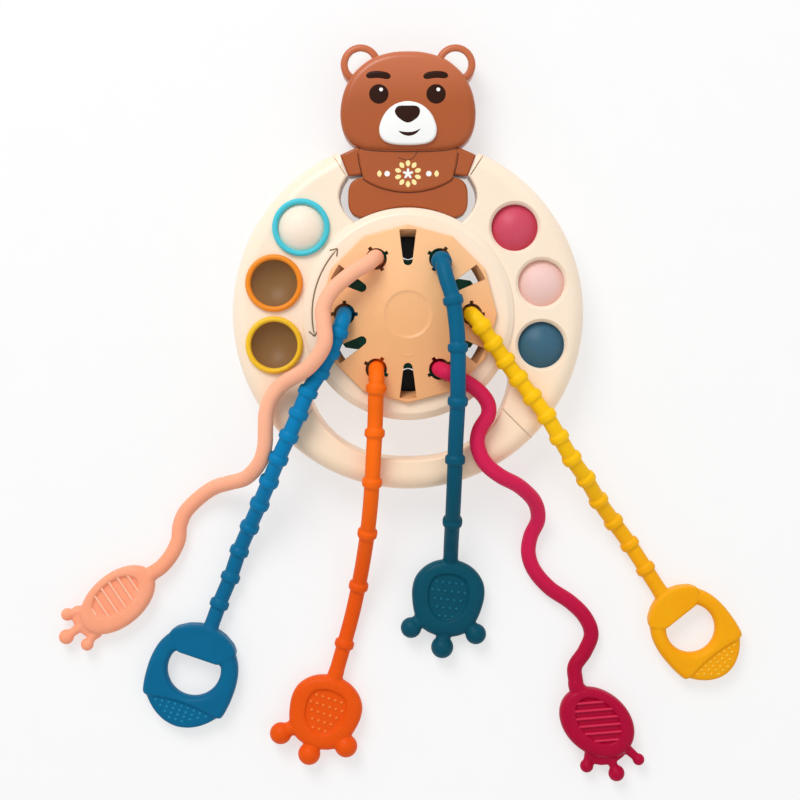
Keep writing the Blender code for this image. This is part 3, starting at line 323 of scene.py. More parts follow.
def ballGrid(centre, radii, rows=14, cols=20, span=(0.12, np.pi - 0.12)):
    # x = a cos u sin v, y = b sin u sin v, z = c cos v, with v over that span
    v = np.linspace(*span, rows)[:, None]
    u = roundAngles(cols)[None, :]
    a, b, c = np.broadcast_to(radii, 3)
    grid = np.stack([a * np.cos(u) * np.sin(v), b * np.sin(u) * np.sin(v), c * np.cos(v) + 0 * u], -1)
    return grid + np.asarray(centre)


def moved(points, matrix):
    # turned and shifted by a 4 x 4 matrix
    m = np.array(matrix)
    return np.asarray(points) @ m[:3, :3].T + m[:3, 3]


def linear(red, green, blue):
    # sRGB from 0 to 255 as linear light
    c = np.array([red, green, blue]) / 255
    c = np.where(c <= 0.04045, c / 12.92, ((c + 0.055) / 1.055) ** 2.4)
    return (*c.tolist(), 1.0)


def fill(node, values):
    for socket, value in values.items():
        node.inputs[socket].default_value = value


def newGroup(name, inputs, outputs):
    # a node group with those sockets, and its own input and output nodes
    group = bpy.data.node_groups.new(name, "ShaderNodeTree")
    for socket, kind, value in inputs:
        made = group.interface.new_socket(name=socket, in_out="INPUT", socket_type=kind)
        made.default_value = value
    for socket, kind in outputs:
        group.interface.new_socket(name=socket, in_out="OUTPUT", socket_type=kind)
    return group, group.nodes.new("NodeGroupInput"), group.nodes.new("NodeGroupOutput")


def mixInGroup(group, start, end, one="Color", two="Tint"):
    # mixes two of the group's inputs into its colour, and returns the mix's factor to link
    mix = group.nodes.new("ShaderNodeMix")
    mix.data_type = "RGBA"
    group.links.new(start.outputs[one], mix.inputs[6])
    group.links.new(start.outputs[two], mix.inputs[7])
    group.links.new(mix.outputs[2], end.inputs["Color"])
    return mix.inputs["Factor"]


def mottleGroup():
    # two tones mixed by soft noise, which is how a moulded pigment lies
    group, start, end = newGroup(
        "pigmentMottle",
        [
            ("Light", "NodeSocketColor", (1, 1, 1, 1)),
            ("Dark", "NodeSocketColor", (0, 0, 0, 1)),
            ("Scale", "NodeSocketFloat", 60.0),
        ],
        [("Color", "NodeSocketColor"), ("Mask", "NodeSocketFloat")],
    )
    place = group.nodes.new("ShaderNodeTexCoord")
    noise = group.nodes.new("ShaderNodeTexNoise")
    fill(noise, {"Detail": 3, "Roughness": 0.55})
    link = group.links.new
    link(place.outputs["Object"], noise.inputs["Vector"])
    link(start.outputs["Scale"], noise.inputs["Scale"])
    link(noise.outputs["Fac"], mixInGroup(group, start, end, "Light", "Dark"))
    link(noise.outputs["Fac"], end.inputs["Mask"])
    return group


def grainGroup():
    # height of a fine moulded grain, and a roughness that drifts with it
    group, start, end = newGroup(
        "mouldGrain",
        [
            ("Scale", "NodeSocketFloat", 1500.0),
            ("Low", "NodeSocketFloat", 0.3),
            ("High", "NodeSocketFloat", 0.4),
        ],
        [("Height", "NodeSocketFloat"), ("Roughness", "NodeSocketFloat")],
    )
    place = group.nodes.new("ShaderNodeTexCoord")
    grain = group.nodes.new("ShaderNodeTexNoise")
    fill(grain, {"Detail": 2})
    drift = group.nodes.new("ShaderNodeTexNoise")
    fill(drift, {"Scale": 35, "Detail": 2})
    spread = group.nodes.new("ShaderNodeMapRange")
    fill(spread, {"From Min": 0.3, "From Max": 0.7})
    link = group.links.new
    link(place.outputs["Object"], grain.inputs["Vector"])
    link(place.outputs["Object"], drift.inputs["Vector"])
    link(start.outputs["Scale"], grain.inputs["Scale"])
    link(start.outputs["Low"], spread.inputs["To Min"])
    link(start.outputs["High"], spread.inputs["To Max"])
    link(drift.outputs["Fac"], spread.inputs["Value"])
    link(grain.outputs["Fac"], end.inputs["Height"])
    link(spread.outputs["Result"], end.inputs["Roughness"])
    return group


def riseGroup():
    # paints light and shade along y: mixes a colour with a tint as y goes from Start to End: by 3 t^2 - 2
    # t^3, with
    # t = (y - Start) / (End - Start)
    group, start, end = newGroup(
        "shadeAlongRise",
        [
            ("Color", "NodeSocketColor", (1, 1, 1, 1)),
            ("Tint", "NodeSocketColor", (1, 1, 1, 1)),
            ("Start", "NodeSocketFloat", 0.0),
            ("End", "NodeSocketFloat", 1.0),
        ],
        [("Color", "NodeSocketColor")],
    )
    place = group.nodes.new("ShaderNodeTexCoord")
    apart = group.nodes.new("ShaderNodeSeparateXYZ")
    share = group.nodes.new("ShaderNodeMapRange")
    share.interpolation_type = "SMOOTHSTEP"
    link = group.links.new
    link(place.outputs["Object"], apart.inputs["Vector"])
    link(apart.outputs["Y"], share.inputs["Value"])
    link(start.outputs["Start"], share.inputs["From Min"])
    link(start.outputs["End"], share.inputs["From Max"])
    link(share.outputs["Result"], mixInGroup(group, start, end))
    return group


def raisedGroup():
    # paints a highlight: mixes a colour with a lighter tint on small raised details, where the mesh's raised
    # attribute is 1
    group, start, end = newGroup(
        "highlightWhereRaised",
        [("Color", "NodeSocketColor", (1, 1, 1, 1)), ("Tint", "NodeSocketColor", (1, 1, 1, 1))],
        [("Color", "NodeSocketColor")],
    )
    raised = group.nodes.new("ShaderNodeAttribute")
    raised.attribute_name = "raised"
    group.links.new(raised.outputs["Fac"], mixInGroup(group, start, end))
    return group


pigmentMottle = mottleGroup()
mouldGrain = grainGroup()
shadeAlongRise = riseGroup()
highlightWhereRaised = raisedGroup()


def addGroup(made, group, values):
    # a node of that group in the material
    node = made.node_tree.nodes.new("ShaderNodeGroup")
    node.node_tree = group
    fill(node, values)
    return node


def moulded(name, light, dark, rough=(0.3, 0.4), grain=1500.0, bump=0.02, gloss=0.5, soft=0.0, mottle=60.0):
    # a moulded plastic or silicone: mottled pigment, drifting roughness and a fine grain
    made = bpy.data.materials.new(name)
    made.use_nodes = True
    nodes = made.node_tree.nodes
    link = made.node_tree.links.new
    shader = nodes["Principled BSDF"]
    colour = addGroup(made, pigmentMottle, {"Light": linear(*light), "Dark": linear(*dark), "Scale": mottle})
    surface = addGroup(made, mouldGrain, {"Scale": grain, "Low": rough[0], "High": rough[1]})
    relief = nodes.new("ShaderNodeBump")
    fill(relief, {"Strength": bump, "Distance": 0.0004})
    link(colour.outputs["Color"], shader.inputs["Base Color"])
    link(surface.outputs["Roughness"], shader.inputs["Roughness"])
    link(surface.outputs["Height"], relief.inputs["Height"])
    link(relief.outputs["Normal"], shader.inputs["Normal"])
    fill(shader, {"Specular IOR Level": gloss, "Subsurface Weight": soft, "Subsurface Scale": 0.0015})
    return made


def tinted(made, group, tint, **values):
    # the material's colour goes through a group that mixes it with a tint
    mixed = addGroup(made, group, {"Tint": linear(*tint), **values})
    base = made.node_tree.nodes["Principled BSDF"].inputs["Base Color"]
    made.node_tree.links.new(base.links[0].from_socket, mixed.inputs["Color"])
    made.node_tree.links.new(mixed.outputs["Color"], base)


plasticLook = {
    "cream": ((254, 237, 216), (250, 228, 203)),
    "apricot": ((252, 199, 148), (248, 189, 134)),
    "brown": ((178, 93, 47), (167, 82, 37)),
    "white": ((252, 252, 250), (244, 245, 244)),
    # the wheel's green is painted far lighter than its own dark green: painted light against the shade deep
    # in the hub
    "green": ((12, 176, 146), (4, 150, 124)),
    # the pawls' black stands for the deep shade seen in the hub's top and bottom slots: painted shade
    "black": ((26, 22, 24), (16, 13, 15)),
    "print": ((54, 26, 16), (44, 19, 11)),
    "arrow": ((140, 122, 92), (120, 102, 76)),
    "pale": ((255, 240, 178), (250, 230, 158)),
    "crease": ((96, 44, 22), (84, 36, 17)),
}
siliconeLook = {
    "salmon": ((255, 175, 139), (254, 159, 122)),
    "crimson": ((186, 3, 60), (166, 0, 46)),
    "blue": ((0, 109, 151), (0, 94, 137)),
    "yellow": ((250, 178, 8), (243, 158, 0)),
    "orange": ((240, 92, 8), (231, 78, 2)),
    "teal": ((0, 84, 105), (0, 69, 89)),
    "cyanRim": ((78, 206, 222), (60, 190, 208)),
    "amberRim": ((246, 150, 36), (238, 132, 20)),
    "lemonRim": ((247, 201, 46), (240, 186, 26)),
    "creamDome": ((255, 240, 222), (250, 230, 208)),
    "brownDome": ((143, 106, 62), (126, 90, 49)),
    "roseDome": ((214, 82, 106), (200, 62, 88)),
    "pinkDome": ((244, 208, 200), (238, 195, 189)),
    "slateDome": ((62, 108, 132), (46, 92, 116)),
}
plasticFeel = {"rough": (0.26, 0.36), "bump": 0.015, "gloss": 0.35, "mottle": 25.0}
siliconeFeel = {"rough": (0.4, 0.52), "grain": 2600.0, "bump": 0.05, "gloss": 0.3, "soft": 0.06}
plastic = {name: moulded(f"{name} plastic", *tones, **plasticFeel) for name, tones in plasticLook.items()}
silicone = {name: moulded(f"{name} silicone", *tones, **siliconeFeel) for name, tones in siliconeLook.items()}
# painted light and shade along y, as colours that go over to a tint: the material, the tint, and where it
# starts and ends, in millimetres from the ring's centre; painted shade lower down on the cream and the
# apricot, painted light on the top of the bear's head and on each string nearer the ring than its tab
paintedShading = [
    (plastic["cream"], (255, 229, 198), 10, -75),
    (plastic["apricot"], (244, 180, 123), 26, -12),
    (plastic["brown"], (196, 107, 68), 92, 116),
    (silicone["blue"], (0, 127, 182), -125, -60),
    (silicone["orange"], (254, 110, 12), -135, -60),
    (silicone["teal"], (0, 96, 132), -95, -20),
    (silicone["salmon"], (255, 184, 150), -110, -50),
    (silicone["crimson"], (216, 32, 84), -160, -90),
    (silicone["yellow"], (255, 198, 10), -125, -50),
]
for made, tint, start, end in paintedShading:
    tinted(made, shadeAlongRise, tint, Start=ringY + start * mm, End=ringY + end * mm)
# a painted highlight on each tab's ribs and dots: the lighter colour they are given
raisedHighlights = {
    "salmon": (255, 194, 162),
    "crimson": (214, 44, 82),
    "blue": (30, 133, 172),
    "yellow": (253, 190, 52),
    "orange": (246, 124, 48),
    "teal": (18, 101, 126),
}
for name, tint in raisedHighlights.items():
    tinted(silicone[name], highlightWhereRaised, tint)
# a deep colour shows any gloss as a grey veil, so these have little
deepGloss = 0.12
for made in (plastic["print"], *(silicone[name] for name in raisedHighlights)):
    fill(made.node_tree.nodes["Principled BSDF"], {"Specular IOR Level": deepGloss})
print("materials made")


cameraSet = {
    "eye": (0.0, ringY, 0.774),
    "aim": (-0.0036, ringY - 0.0389, 0.024),
    "lens": 74.5,
    "sensor": 36.0,
}


def placeCamera():
    # looks from the eye to the aim; right = look x Y, up = right x look
    eye = np.array(cameraSet["eye"])
    look = np.array(cameraSet["aim"]) - eye
    look /= np.linalg.norm(look)
    right = np.cross(look, [0, 1, 0])
    right /= np.linalg.norm(right)
    up = np.cross(right, look)
    data = bpy.data.cameras.new("camera")
    data.lens = cameraSet["lens"]
    data.sensor_width = cameraSet["sensor"]
    data.sensor_fit = "HORIZONTAL"
    data.clip_start = 0.01
    camera = newObject("camera", data)
    turn = Matrix(np.column_stack([right, up, -look]).tolist()).to_4x4()
    camera.matrix_world = Matrix.Translation(eye) @ turn
    bpy.context.scene.camera = camera


lightSet = {
    "world": 0.62,
    "aim": (0.0, -0.05, 0.0),
    "key": {"at": (-0.5, 1.05, 1.2), "size": 0.9, "power": 15.0},
    "fill": {"at": (0.9, -0.5, 1.3), "size": 1.2, "power": 1.5},
}


def placeLights():
    # an even white sky, and two round lamps that face the aim
    world = bpy.data.worlds.new("studio")
    world.use_nodes = True
    fill(world.node_tree.nodes["Background"], {"Color": (1.0, 1.0, 1.0, 1.0), "Strength": lightSet["world"]})
    bpy.context.scene.world = world
    for name in ("key", "fill"):
        values = lightSet[name]
        data = bpy.data.lights.new(name, "AREA")
        data.shape = "DISK"
        data.size = values["size"]
        data.energy = values["power"]
        lamp = newObject(name, data)
        lamp.location = values["at"]
        way = Vector(lightSet["aim"]) - lamp.location
        lamp.rotation_euler = way.to_track_quat("-Z", "Y").to_euler()
    bpy.context.scene.view_settings.view_transform = "Standard"


floorSet = {
    "half": 3.0,
    "below": 0.0001,
    "tones": ((168, 168, 168), (165, 165, 165)),
    "rough": (0.85, 0.95),
    "glow": 0.585,
}


def placeFloor():
    # a flat square, just under what lies on it, that glows a little
    half = floorSet["half"]
    corners = np.array([(-half, -half), (half, -half), (half, half), (-half, half)])
    points = atHeight(corners, -floorSet["below"])
    paper = moulded("floor paper", *floorSet["tones"], rough=floorSet["rough"], bump=0.0)
    glow = {"Emission Color": (1.0, 1.0, 1.0, 1.0), "Emission Strength": floorSet["glow"]}
    fill(paper.node_tree.nodes["Principled BSDF"], {"Specular IOR Level": 0.0, **glow})
    floor = addPiece("floor", (points, [[0, 1, 2, 3]]), paper)


placeCamera()
placeLights()
placeFloor()
print("camera and lights placed")


cordSet = {
    "blendFrom": 77.0 * mm,
    "exitReach": 28.0 * mm,
    "radius": 3.5 * mm,
    "ribRadius": 4.6 * mm,
    "ribLength": 4.0 * mm,
    "stopRadius": 5.0 * mm,
    "stopPlace": 6.5 * mm,
    "holeCircle": 28.5 * mm,
    "bend": 6.0 * mm,
    "topTier": 24.8 * mm,
    "tierStep": 7.3 * mm,
    "mouth": 26.7 * mm,
    "inner": [0.3 * mm, 9 * mm, 16 * mm],
    "tipShort": 0.3 * mm,
    "ringStep": 0.55 * mm,
    "sides": 22,
}
# name: hub hole's angle, tier inside the hub, count of ribs, and their places (first, step, growth):
# rib k is first + step k + growth k^2 millimetres from the hole, in plan
strings = {
    "salmon": (120, 1, 0, (0, 0, 0)),
    "crimson": (300, 1, 0, (0, 0, 0)),
    "blue": (180, 2, 13, (7.9, 9.58, 0.174)),
    "yellow": (0, 2, 13, (6.6, 8.96, 0.209)),
    "orange": (240, 0, 6, (8.1, 19.26, 1.05)),
    "teal": (60, 0, 6, (1.0, 16.6, 1.45)),
}
# each string's way in millimetres from the ring's centre, from its hub hole to its tab
routes = {
    "salmon": [
        (-14.6, 25.3, 32.5), (-17.6, 22.4, 39.0), (-24.9, 17.9, 42.0), (-33.5, 10.2, 42.4),
        (-37.4, 2.5, 42.8), (-37.1, -4.1, 43.8), (-37.0, -13.7, 44.2), (-44.2, -23.6, 40.0),
        (-55.4, -30.8, 32.2), (-61.0, -36.8, 30.0), (-63.8, -43.9, 29.2), (-64.3, -50.5, 28.7),
        (-64.8, -59.8, 27.0), (-67.6, -67.7, 24.0), (-74.2, -74.9, 18.0), (-82.6, -77.9, 12.0),
        (-89.8, -80.4, 7.5), (-96.9, -85.2, 4.6), (-103.8, -92.1, 3.7), (-106.7, -98.8, 3.7),
        (-107.5, -105.6, 3.7), (-110.6, -112.3, 4.2), (-115.1, -117.9, 4.8), (-119.8, -121.2, 5.0),
    ],
    "crimson": [
        (14.4, -24.7, 32.5), (17.2, -25.9, 36.0), (22.8, -28.6, 34.8), (30.6, -33.5, 31.8),
        (35.6, -39.4, 29.5), (36.2, -45.4, 28.6), (32.3, -52.3, 28.4), (31.4, -59.2, 28.6),
        (34.8, -67.1, 28.6), (41.7, -73.1, 26.5), (50.9, -78.5, 21.0), (58.4, -86.4, 13.0),
        (60.5, -95.2, 7.5), (57.3, -103.7, 4.6), (56.4, -112.0, 3.7), (59.4, -120.2, 3.7),
        (66.6, -128.3, 3.7), (75.8, -134.5, 3.7), (82.9, -141.6, 3.7), (86.0, -149.8, 3.7),
        (83.0, -158.1, 3.7), (78.4, -165.2, 4.2), (78.8, -172.6, 5.0),
    ],
    "blue": [
        (-28.6, -0.4, 32.5), (-29.2, -3.2, 36.8), (-30.8, -7.6, 36.9), (-34.2, -16.0, 35.4),
        (-39.4, -25.9, 34.0), (-44.8, -34.8, 33.0), (-49.0, -44.4, 32.0), (-53.4, -54.3, 31.0),
        (-58.1, -64.2, 28.0), (-63.1, -75.6, 22.5), (-68.2, -87.2, 16.0), (-73.5, -98.7, 10.2),
        (-78.6, -110.2, 6.4), (-83.0, -122.8, 5.2), (-87.9, -134.6, 5.0), (-92.0, -145.6, 5.0),
    ],
    "yellow": [
        (28.7, -0.4, 32.5), (31.0, -3.0, 36.4), (36.5, -10.8, 34.8), (45.6, -23.6, 31.6),
        (54.5, -35.3, 30.2), (62.1, -45.3, 29.8), (68.2, -55.3, 27.6), (74.4, -65.4, 23.8),
        (81.8, -75.7, 18.0), (88.4, -86.4, 12.0), (96.1, -97.1, 7.5), (103.7, -107.5, 5.2),
        (117.8, -129.3, 5.0),
    ],
    "orange": [
        (-14.2, -25.0, 32.5), (-14.0, -29.4, 36.2), (-14.4, -37.5, 35.0), (-14.7, -48.3, 32.4),
        (-15.5, -64.2, 31.8), (-16.1, -74.7, 30.5), (-17.1, -87.4, 26.0), (-18.6, -100.4, 20.0),
        (-20.7, -114.1, 13.0), (-23.2, -127.5, 8.0), (-26.1, -140.6, 5.6), (-29.6, -153.7, 5.0),
        (-33.4, -167.0, 5.0),
    ],
    "teal": [
        (14.6, 24.4, 32.5), (15.6, 21.3, 38.4), (17.2, 15.1, 41.2), (19.9, 6.2, 42.6),
        (21.6, -7.0, 43.2), (22.1, -18.0, 43.4), (22.1, -28.2, 43.2), (22.1, -38.9, 40.6),
        (21.4, -56.3, 34.6), (21.1, -69.8, 31.6), (20.8, -80.2, 28.2), (20.5, -91.5, 21.6),
        (20.1, -104.2, 12.6), (19.9, -114.6, 6.2),
    ],
}


def stringLine(name):
    # from the hub's middle out along its tier, up through the hole in a quarter turn, then its route
    angle, tier, _, _ = strings[name]
    angle = np.radians(angle)
    way = np.array([np.cos(angle), np.sin(angle), 0.0])
    up = np.array([0.0, 0.0, 1.0])
    height = cordSet["topTier"] - tier * cordSet["tierStep"]
    bend = cordSet["bend"]
    turns = np.radians([0, 30, 60, 90])[:, None]
    inner = way * np.array(cordSet["inner"])[:, None] + up * height
    out = cordSet["holeCircle"] - bend + bend * np.sin(turns)
    curved = way * out + up * (height + bend * (1 - np.cos(turns)))
    points = [inner, curved]
    if height + bend < cordSet["mouth"] - 1.0 * mm:
        points.append((way * cordSet["holeCircle"] + up * cordSet["mouth"])[None, :])
    route = np.array(routes[name]) * mm
    fine = splineThrough(np.vstack([*points, route]))
    along = alongLine(fine)
    startOfRoute = along[np.linalg.norm(fine - route[0], axis=1).argmin()]
    return fine + [0.0, ringY, 0.0], along, startOfRoute


def bead(distance, half):
    # a rounded bead, high in its middle half and steep at its ends: (1 - (d / half)^4) ^ 0.5
    return np.sqrt(np.clip(1 - np.abs(distance / half) ** 4, 0, 1))


stringEnds = {}


def makeString(name):
    # a tube along the string's line, thicker by a bead at its stop and at each rib
    _, _, count, (first, step, growth) = strings[name]
    fine, along, startOfRoute = stringLine(name)
    total = along[-1] - cordSet["tipShort"]
    half = cordSet["ribLength"] / 2
    inPlan = alongLine(fine[:, :2])
    inPlan = inPlan - np.interp(startOfRoute, along, inPlan)
    k = np.arange(count)
    ribs = np.interp((first + step * k + growth * k * k) * mm, inPlan, along)
    places = np.linspace(0, total, int(total / cordSet["ringStep"]))
    radius = cordSet["radius"]
    radii = radius + (cordSet["stopRadius"] - radius) * bead(places - cordSet["stopPlace"], half)
    for rib in ribs:
        radii = radii + (cordSet["ribRadius"] - radius) * bead(places - rib, half)
    line = pointsAt(places, fine, along)
    grid = tubeGrid(line, radii, cordSet["sides"])
    piece = addPiece(f"{name}_string", closedGrid(grid), silicone[name])
    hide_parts(f"string_{name}")
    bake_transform(piece)
    stringEnds[name] = (line[-1], line[-1] - line[-8])
    return piece, line, places, startOfRoute, total


cordPieces = {name: makeString(name) for name in strings}
print("strings made")


# a tab's own frame has +X away from its string, and its middle at the tabs' height
tabSet = {
    "height": 5.0 * mm,
    "half": 4.5 * mm,
    "voxel": 0.42 * mm,
    "smoothing": 7,
    "windowDepth": 1.6 * mm,
    "neckBack": 1.0 * mm,
    "neckOn": 2.5 * mm,
    "neckRadii": [3.62 * mm, 3.7 * mm, 4.1 * mm],
}


def tabFrame(centre, angle):
    # a shift to the tab's centre after a turn about Z
    x, y = centre
    place = Matrix.Translation((x * mm, ringY + y * mm, tabSet["height"]))
    return place @ Matrix.Rotation(np.radians(angle), 4, "Z")


def turnedOval(halfLong, halfWide, turn, count=120):
    # x = a cos t, y = b sin t, then turned
    a = roundAngles(count)
    x = halfLong * np.cos(a)
    y = halfWide * np.sin(a)
    return np.column_stack([x * np.cos(turn) - y * np.sin(turn), x * np.sin(turn) + y * np.cos(turn)])


def padSurface(outer, window, half, depth, count=180):
    # r = a W + b (R - W) at each angle, with W the window's edge and R the pad's; z falls from the
    # rim's crown to the pad's side as a superellipse, z = h cos(t)^0.77, b = c + (1 - c) sin(t)^0.77
    a = roundAngles(count)
    edge = polarOutline(outer, (0, 0), a)
    inner = polarOutline(window, (0, 0), a)
    low = half - depth
    floorRows = [(share, 0, low) for share in (0.1, 0.3, 0.5, 0.7, 0.88)]
    wall = [(0.95, 0, 0.08), (0.985, 0, 0.35), (1.0, 0.01, 0.7), (1.0, 0.05, 0.88)]
    wallRows = [(share, b, low + part * depth) for share, b, part in wall]
    t = np.linspace(0, np.pi / 2, 16)
    crown = 0.36
    rise = [(1.0, b, half - 0.16 * mm * ((crown - b) / (crown - 0.05)) ** 2) for b in (0.12, 0.2, 0.28)]
    fall = [(1.0, crown + (1 - crown) * np.sin(s) ** 0.77, half * np.cos(s) ** 0.77) for s in t]
    top = np.array(floorRows + wallRows + rise + fall)
    bottom = top[-2::-1] * [1, 1, -1]
    rows = np.vstack([top, bottom])
    r = rows[:, :1] * inner + rows[:, 1:2] * (edge - inner)
    return closedGrid(np.stack([*polar(r, a), np.broadcast_to(rows[:, 2:], r.shape)], -1))


def bar(start, end, startRadius, endRadius, sides=16):
    # a round bar with rounded ends between two points of the tab's frame
    line = np.linspace(start, end, 12)
    t = np.linspace(0, 1, 12)
    radii = startRadius + (endRadius - startRadius) * t
    return closedGrid(tubeGrid(line, radii, sides))


def neckBar(name, matrix, reach):
    # the string's root: a bar over the end of the string that runs on into the tab
    end, way = stringEnds[name]
    way = way / np.linalg.norm(way)
    back = np.array(matrix.inverted())
    toFrame = lambda p: back[:3, :3] @ p + back[:3, 3]
    start = toFrame(end - way * tabSet["neckBack"])
    after = toFrame(end + way * tabSet["neckOn"])
    inside = np.array([-reach, after[1] * 0.5, 0.0])
    line = splineThrough([start, after, inside], 10)
    radii = np.interp(np.linspace(0, 1, len(line)), [0, 0.4, 1], tabSet["neckRadii"])
    return closedGrid(tubeGrid(line, radii, 24))


def dotField(centres, radius, height):
    # low round dots, the upper halves of flat balls, all of them at once
    one = ballGrid((0.0, 0.0, 0.0), (radius, radius, height), 4, 10, (0.05, np.pi / 2))
    foot = one[-1:] - [0, 0, 0.4 * mm]
    points, faces = closedGrid(np.vstack([one, foot]))
    centres = np.asarray(centres, float)
    every = (points[None] + centres[:, None]).reshape(-1, 3)
    faceSets = [[[v + k * len(points) for v in face] for face in faces] for k in range(len(centres))]
    return every, sum(faceSets, [])


def fuse(name, parts, matrix, finish):
    # closed forms that overlap become one skin: a voxel remesh, then a few rounds of smoothing
    points, faces = gather(parts)
    obj = newObject(name, meshOf(name, moved(points, matrix), faces))
    skin = obj.modifiers.new("skin", "REMESH")
    skin.mode = "VOXEL"
    skin.voxel_size = tabSet["voxel"]
    skin.use_smooth_shade = True
    smooth = obj.modifiers.new("smooth", "SMOOTH")
    smooth.factor = 0.5
    smooth.iterations = tabSet["smoothing"]
    finished(obj)
    obj.data.materials.clear()
    obj.data.materials.append(finish)
    return obj


def addTo(obj, points, faces, matrix):
    # small closed details joined to a fused piece, their vertices marked as raised, which is where the
    # painted highlight goes
    extra = meshOf("detail", moved(points, matrix), faces)
    raised = np.repeat([0.0, 1.0], [len(obj.data.vertices), len(extra.vertices)])
    joinTo(obj, extra)
    bpy.data.meshes.remove(extra)
    obj.data.attributes.new("raised", "FLOAT", "POINT").data.foreach_set("value", raised.astype(np.float32))
    obj.data.shade_smooth()


def finishTab(name, piece):
    # the tab moves with its string's end and takes the place of its own solid
    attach(piece, f"{name}_pull")
    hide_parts(f"pull_tab_{name}")
    return piece


# half axes and places in millimetres; the window lies off the middle, and its ribs cross it slantwise
ovalTabs = {
    "salmon": {
        "centre": (-135.9, -133.6),
        "angle": -139,
        "oval": (20.4, 12.5),
        "ovalAt": (0.0, 0.0),
        "turn": -0.02,
        "window": (12.7, 7.1),
        "windowAt": (-1.1, -1.9),
        "windowTurn": -0.05,
        "ribs": (-11.4, 4.57),
        "ribTurn": -0.13,
        "toes": [(24.8, 6.4, 2.9), (29.8, -2.7, 3.4), (22.4, -10.3, 2.9)],
    },
    "crimson": {
        "centre": (88.3, -190.3),
        "angle": -69,
        "oval": (19.4, 14.7),
        "ovalAt": (1.1, 0.0),
        "turn": 0.52,
        "window": (12.8, 8.5),
        "windowAt": (-0.2, 0.8),
        "windowTurn": 0.38,
        "ribs": (-10.3, 3.82),
        "ribTurn": -0.28,
        "toes": [(18.8, -11.7, 3.1), (27.1, 0.1, 3.7), (24.7, 12.1, 2.7)],
    },
}


ovalSet = {
    "webAt": 0.70,  # the web's place, as a share of the knobs' mean
    "web": (5.6 * mm, 9.6 * mm, 2.3 * mm),
    "barFrom": 0.66,  # where a knob's bar starts, as a share of its place
    "bar": (2.4 * mm, 1.9 * mm),
    "knobSize": 1.05,
    "neckReach": 0.7,
    "ribCount": 6,
    "ribShift": 1.1 * mm,
    "ribOver": 0.6 * mm,
    "ribRadius": 0.62 * mm,
    "ribTall": 1.25,
    "ribSink": 1.05 * mm,
}


def makeOvalTab(name):
    # a pad with a ribbed window, and three round knobs on bars joined by a thin web
    s = ovalSet
    values = ovalTabs[name]
    matrix = tabFrame(values["centre"], values["angle"])
    half = tabSet["half"]
    oval = np.array(values["oval"]) * mm
    outline = turnedOval(*oval, values["turn"]) + np.array(values["ovalAt"]) * mm
    wide = np.array(values["window"]) * mm
    middle = np.array(values["windowAt"]) * mm
    window = turnedOval(*wide, values["windowTurn"]) + middle
    parts = [padSurface(outline, window, half, tabSet["windowDepth"])]
    toes = np.array(values["toes"]) * mm
    web = toes[:, :2].mean(0) * s["webAt"]
    parts.append(closedGrid(ballGrid((*web, 0.0), s["web"])))
    for x, y, radius in toes:
        root = np.array([x, y, 0.0]) * s["barFrom"]
        parts.append(bar(root, (x, y, 0.0), *s["bar"]))
        parts.append(closedGrid(ballGrid((x, y, 0.0), radius * s["knobSize"])))
    parts.append(neckBar(name, matrix, oval[0] * s["neckReach"]))
    piece = fuse(f"{name}_tab", parts, matrix, silicone[name])
    across = np.array([-np.sin(values["ribTurn"]), np.cos(values["ribTurn"])])
    a = values["windowTurn"]
    along = np.array([np.cos(a), np.sin(a)]) / wide[0]
    square = np.array([-np.sin(a), np.cos(a)]) / wide[1]
    reach = np.linspace(-1, 1, 401)[:, None] * wide[0] * across
    first, step = values["ribs"]
    height = half - s["ribSink"]
    ribs = []
    for place in (first + step * np.arange(s["ribCount"])) * mm:
        # the part of the rib's line inside the window's oval, and a little more at both ends
        line = reach + [place + s["ribShift"], 0.0]
        ends = line[(line @ along) ** 2 + (line @ square) ** 2 < 1.0][[0, -1]]
        ends = ends + np.array([-across, across]) * s["ribOver"]
        line = atHeight(np.linspace(*ends, 16) + middle, height)
        grid = tubeGrid(line, np.full(16, s["ribRadius"]), 12)
        grid[..., 2] = (grid[..., 2] - height) * s["ribTall"] + height
        ribs.append(closedGrid(grid))
    addTo(piece, *gather(ribs), matrix)
    return finishTab(name, piece)


pawOutline = [
    (-18.2, 0), (-17.8, 4.0), (-16.2, 8.6), (-13.0, 12.9), (-8.4, 16.0), (-2.9, 17.0), (3.2, 16.3),
    (9.0, 14.6), (13.6, 11.9), (16.4, 8.4), (17.8, 4.3), (18.2, 0),
]
pawWindow = [
    (-11.8, 0), (-11.4, 3.4), (-9.8, 7.0), (-6.4, 9.0), (-1.6, 9.4), (3.2, 8.5), (7.0, 6.5), (9.6, 3.5),
    (10.5, 0),
]
pawTabs = {
    "orange": {
        "centre": (-39.1, -186.6),
        "angle": -108,
        "size": 0.965,
        "toes": [(15.9, -16.5, 5.2), (21.0, -0.8, 5.3), (12.1, 14.5, 5.4)],
    },
    "teal": {
        "centre": (18.6, -132.6),
        "angle": -96.5,
        "size": 1.0,
        "toes": [(15.8, -15.4, 4.95), (23.2, 0.1, 5.3), (15.3, 15.0, 4.95)],
    },
}


def mirroredOutline(right, size=1.0):
    # one side's points, in millimetres, and the same on the other side of the X axis
    right = np.asarray(right, float)
    left = right[1:-1][::-1] * [1, -1]
    outline = np.vstack([right, left]) * [size * mm, mm]
    return splineThrough(outline, 12, closed=True)


pawSet = {
    "toeRise": 0.4 * mm,
    "barFrom": 0.62,  # where a toe's bar starts, as a share of its place
    "bar": (3.7 * mm, 3.3 * mm),
    "neckReach": 13 * mm,
    "dotRows": (5, 6, 5, 4, 3),
    "dotFirst": -7.6 * mm,
    "dotStep": 3.95 * mm,
    "dotPitch": 3.05 * mm,
    "dot": (0.8 * mm, 0.55 * mm),
}


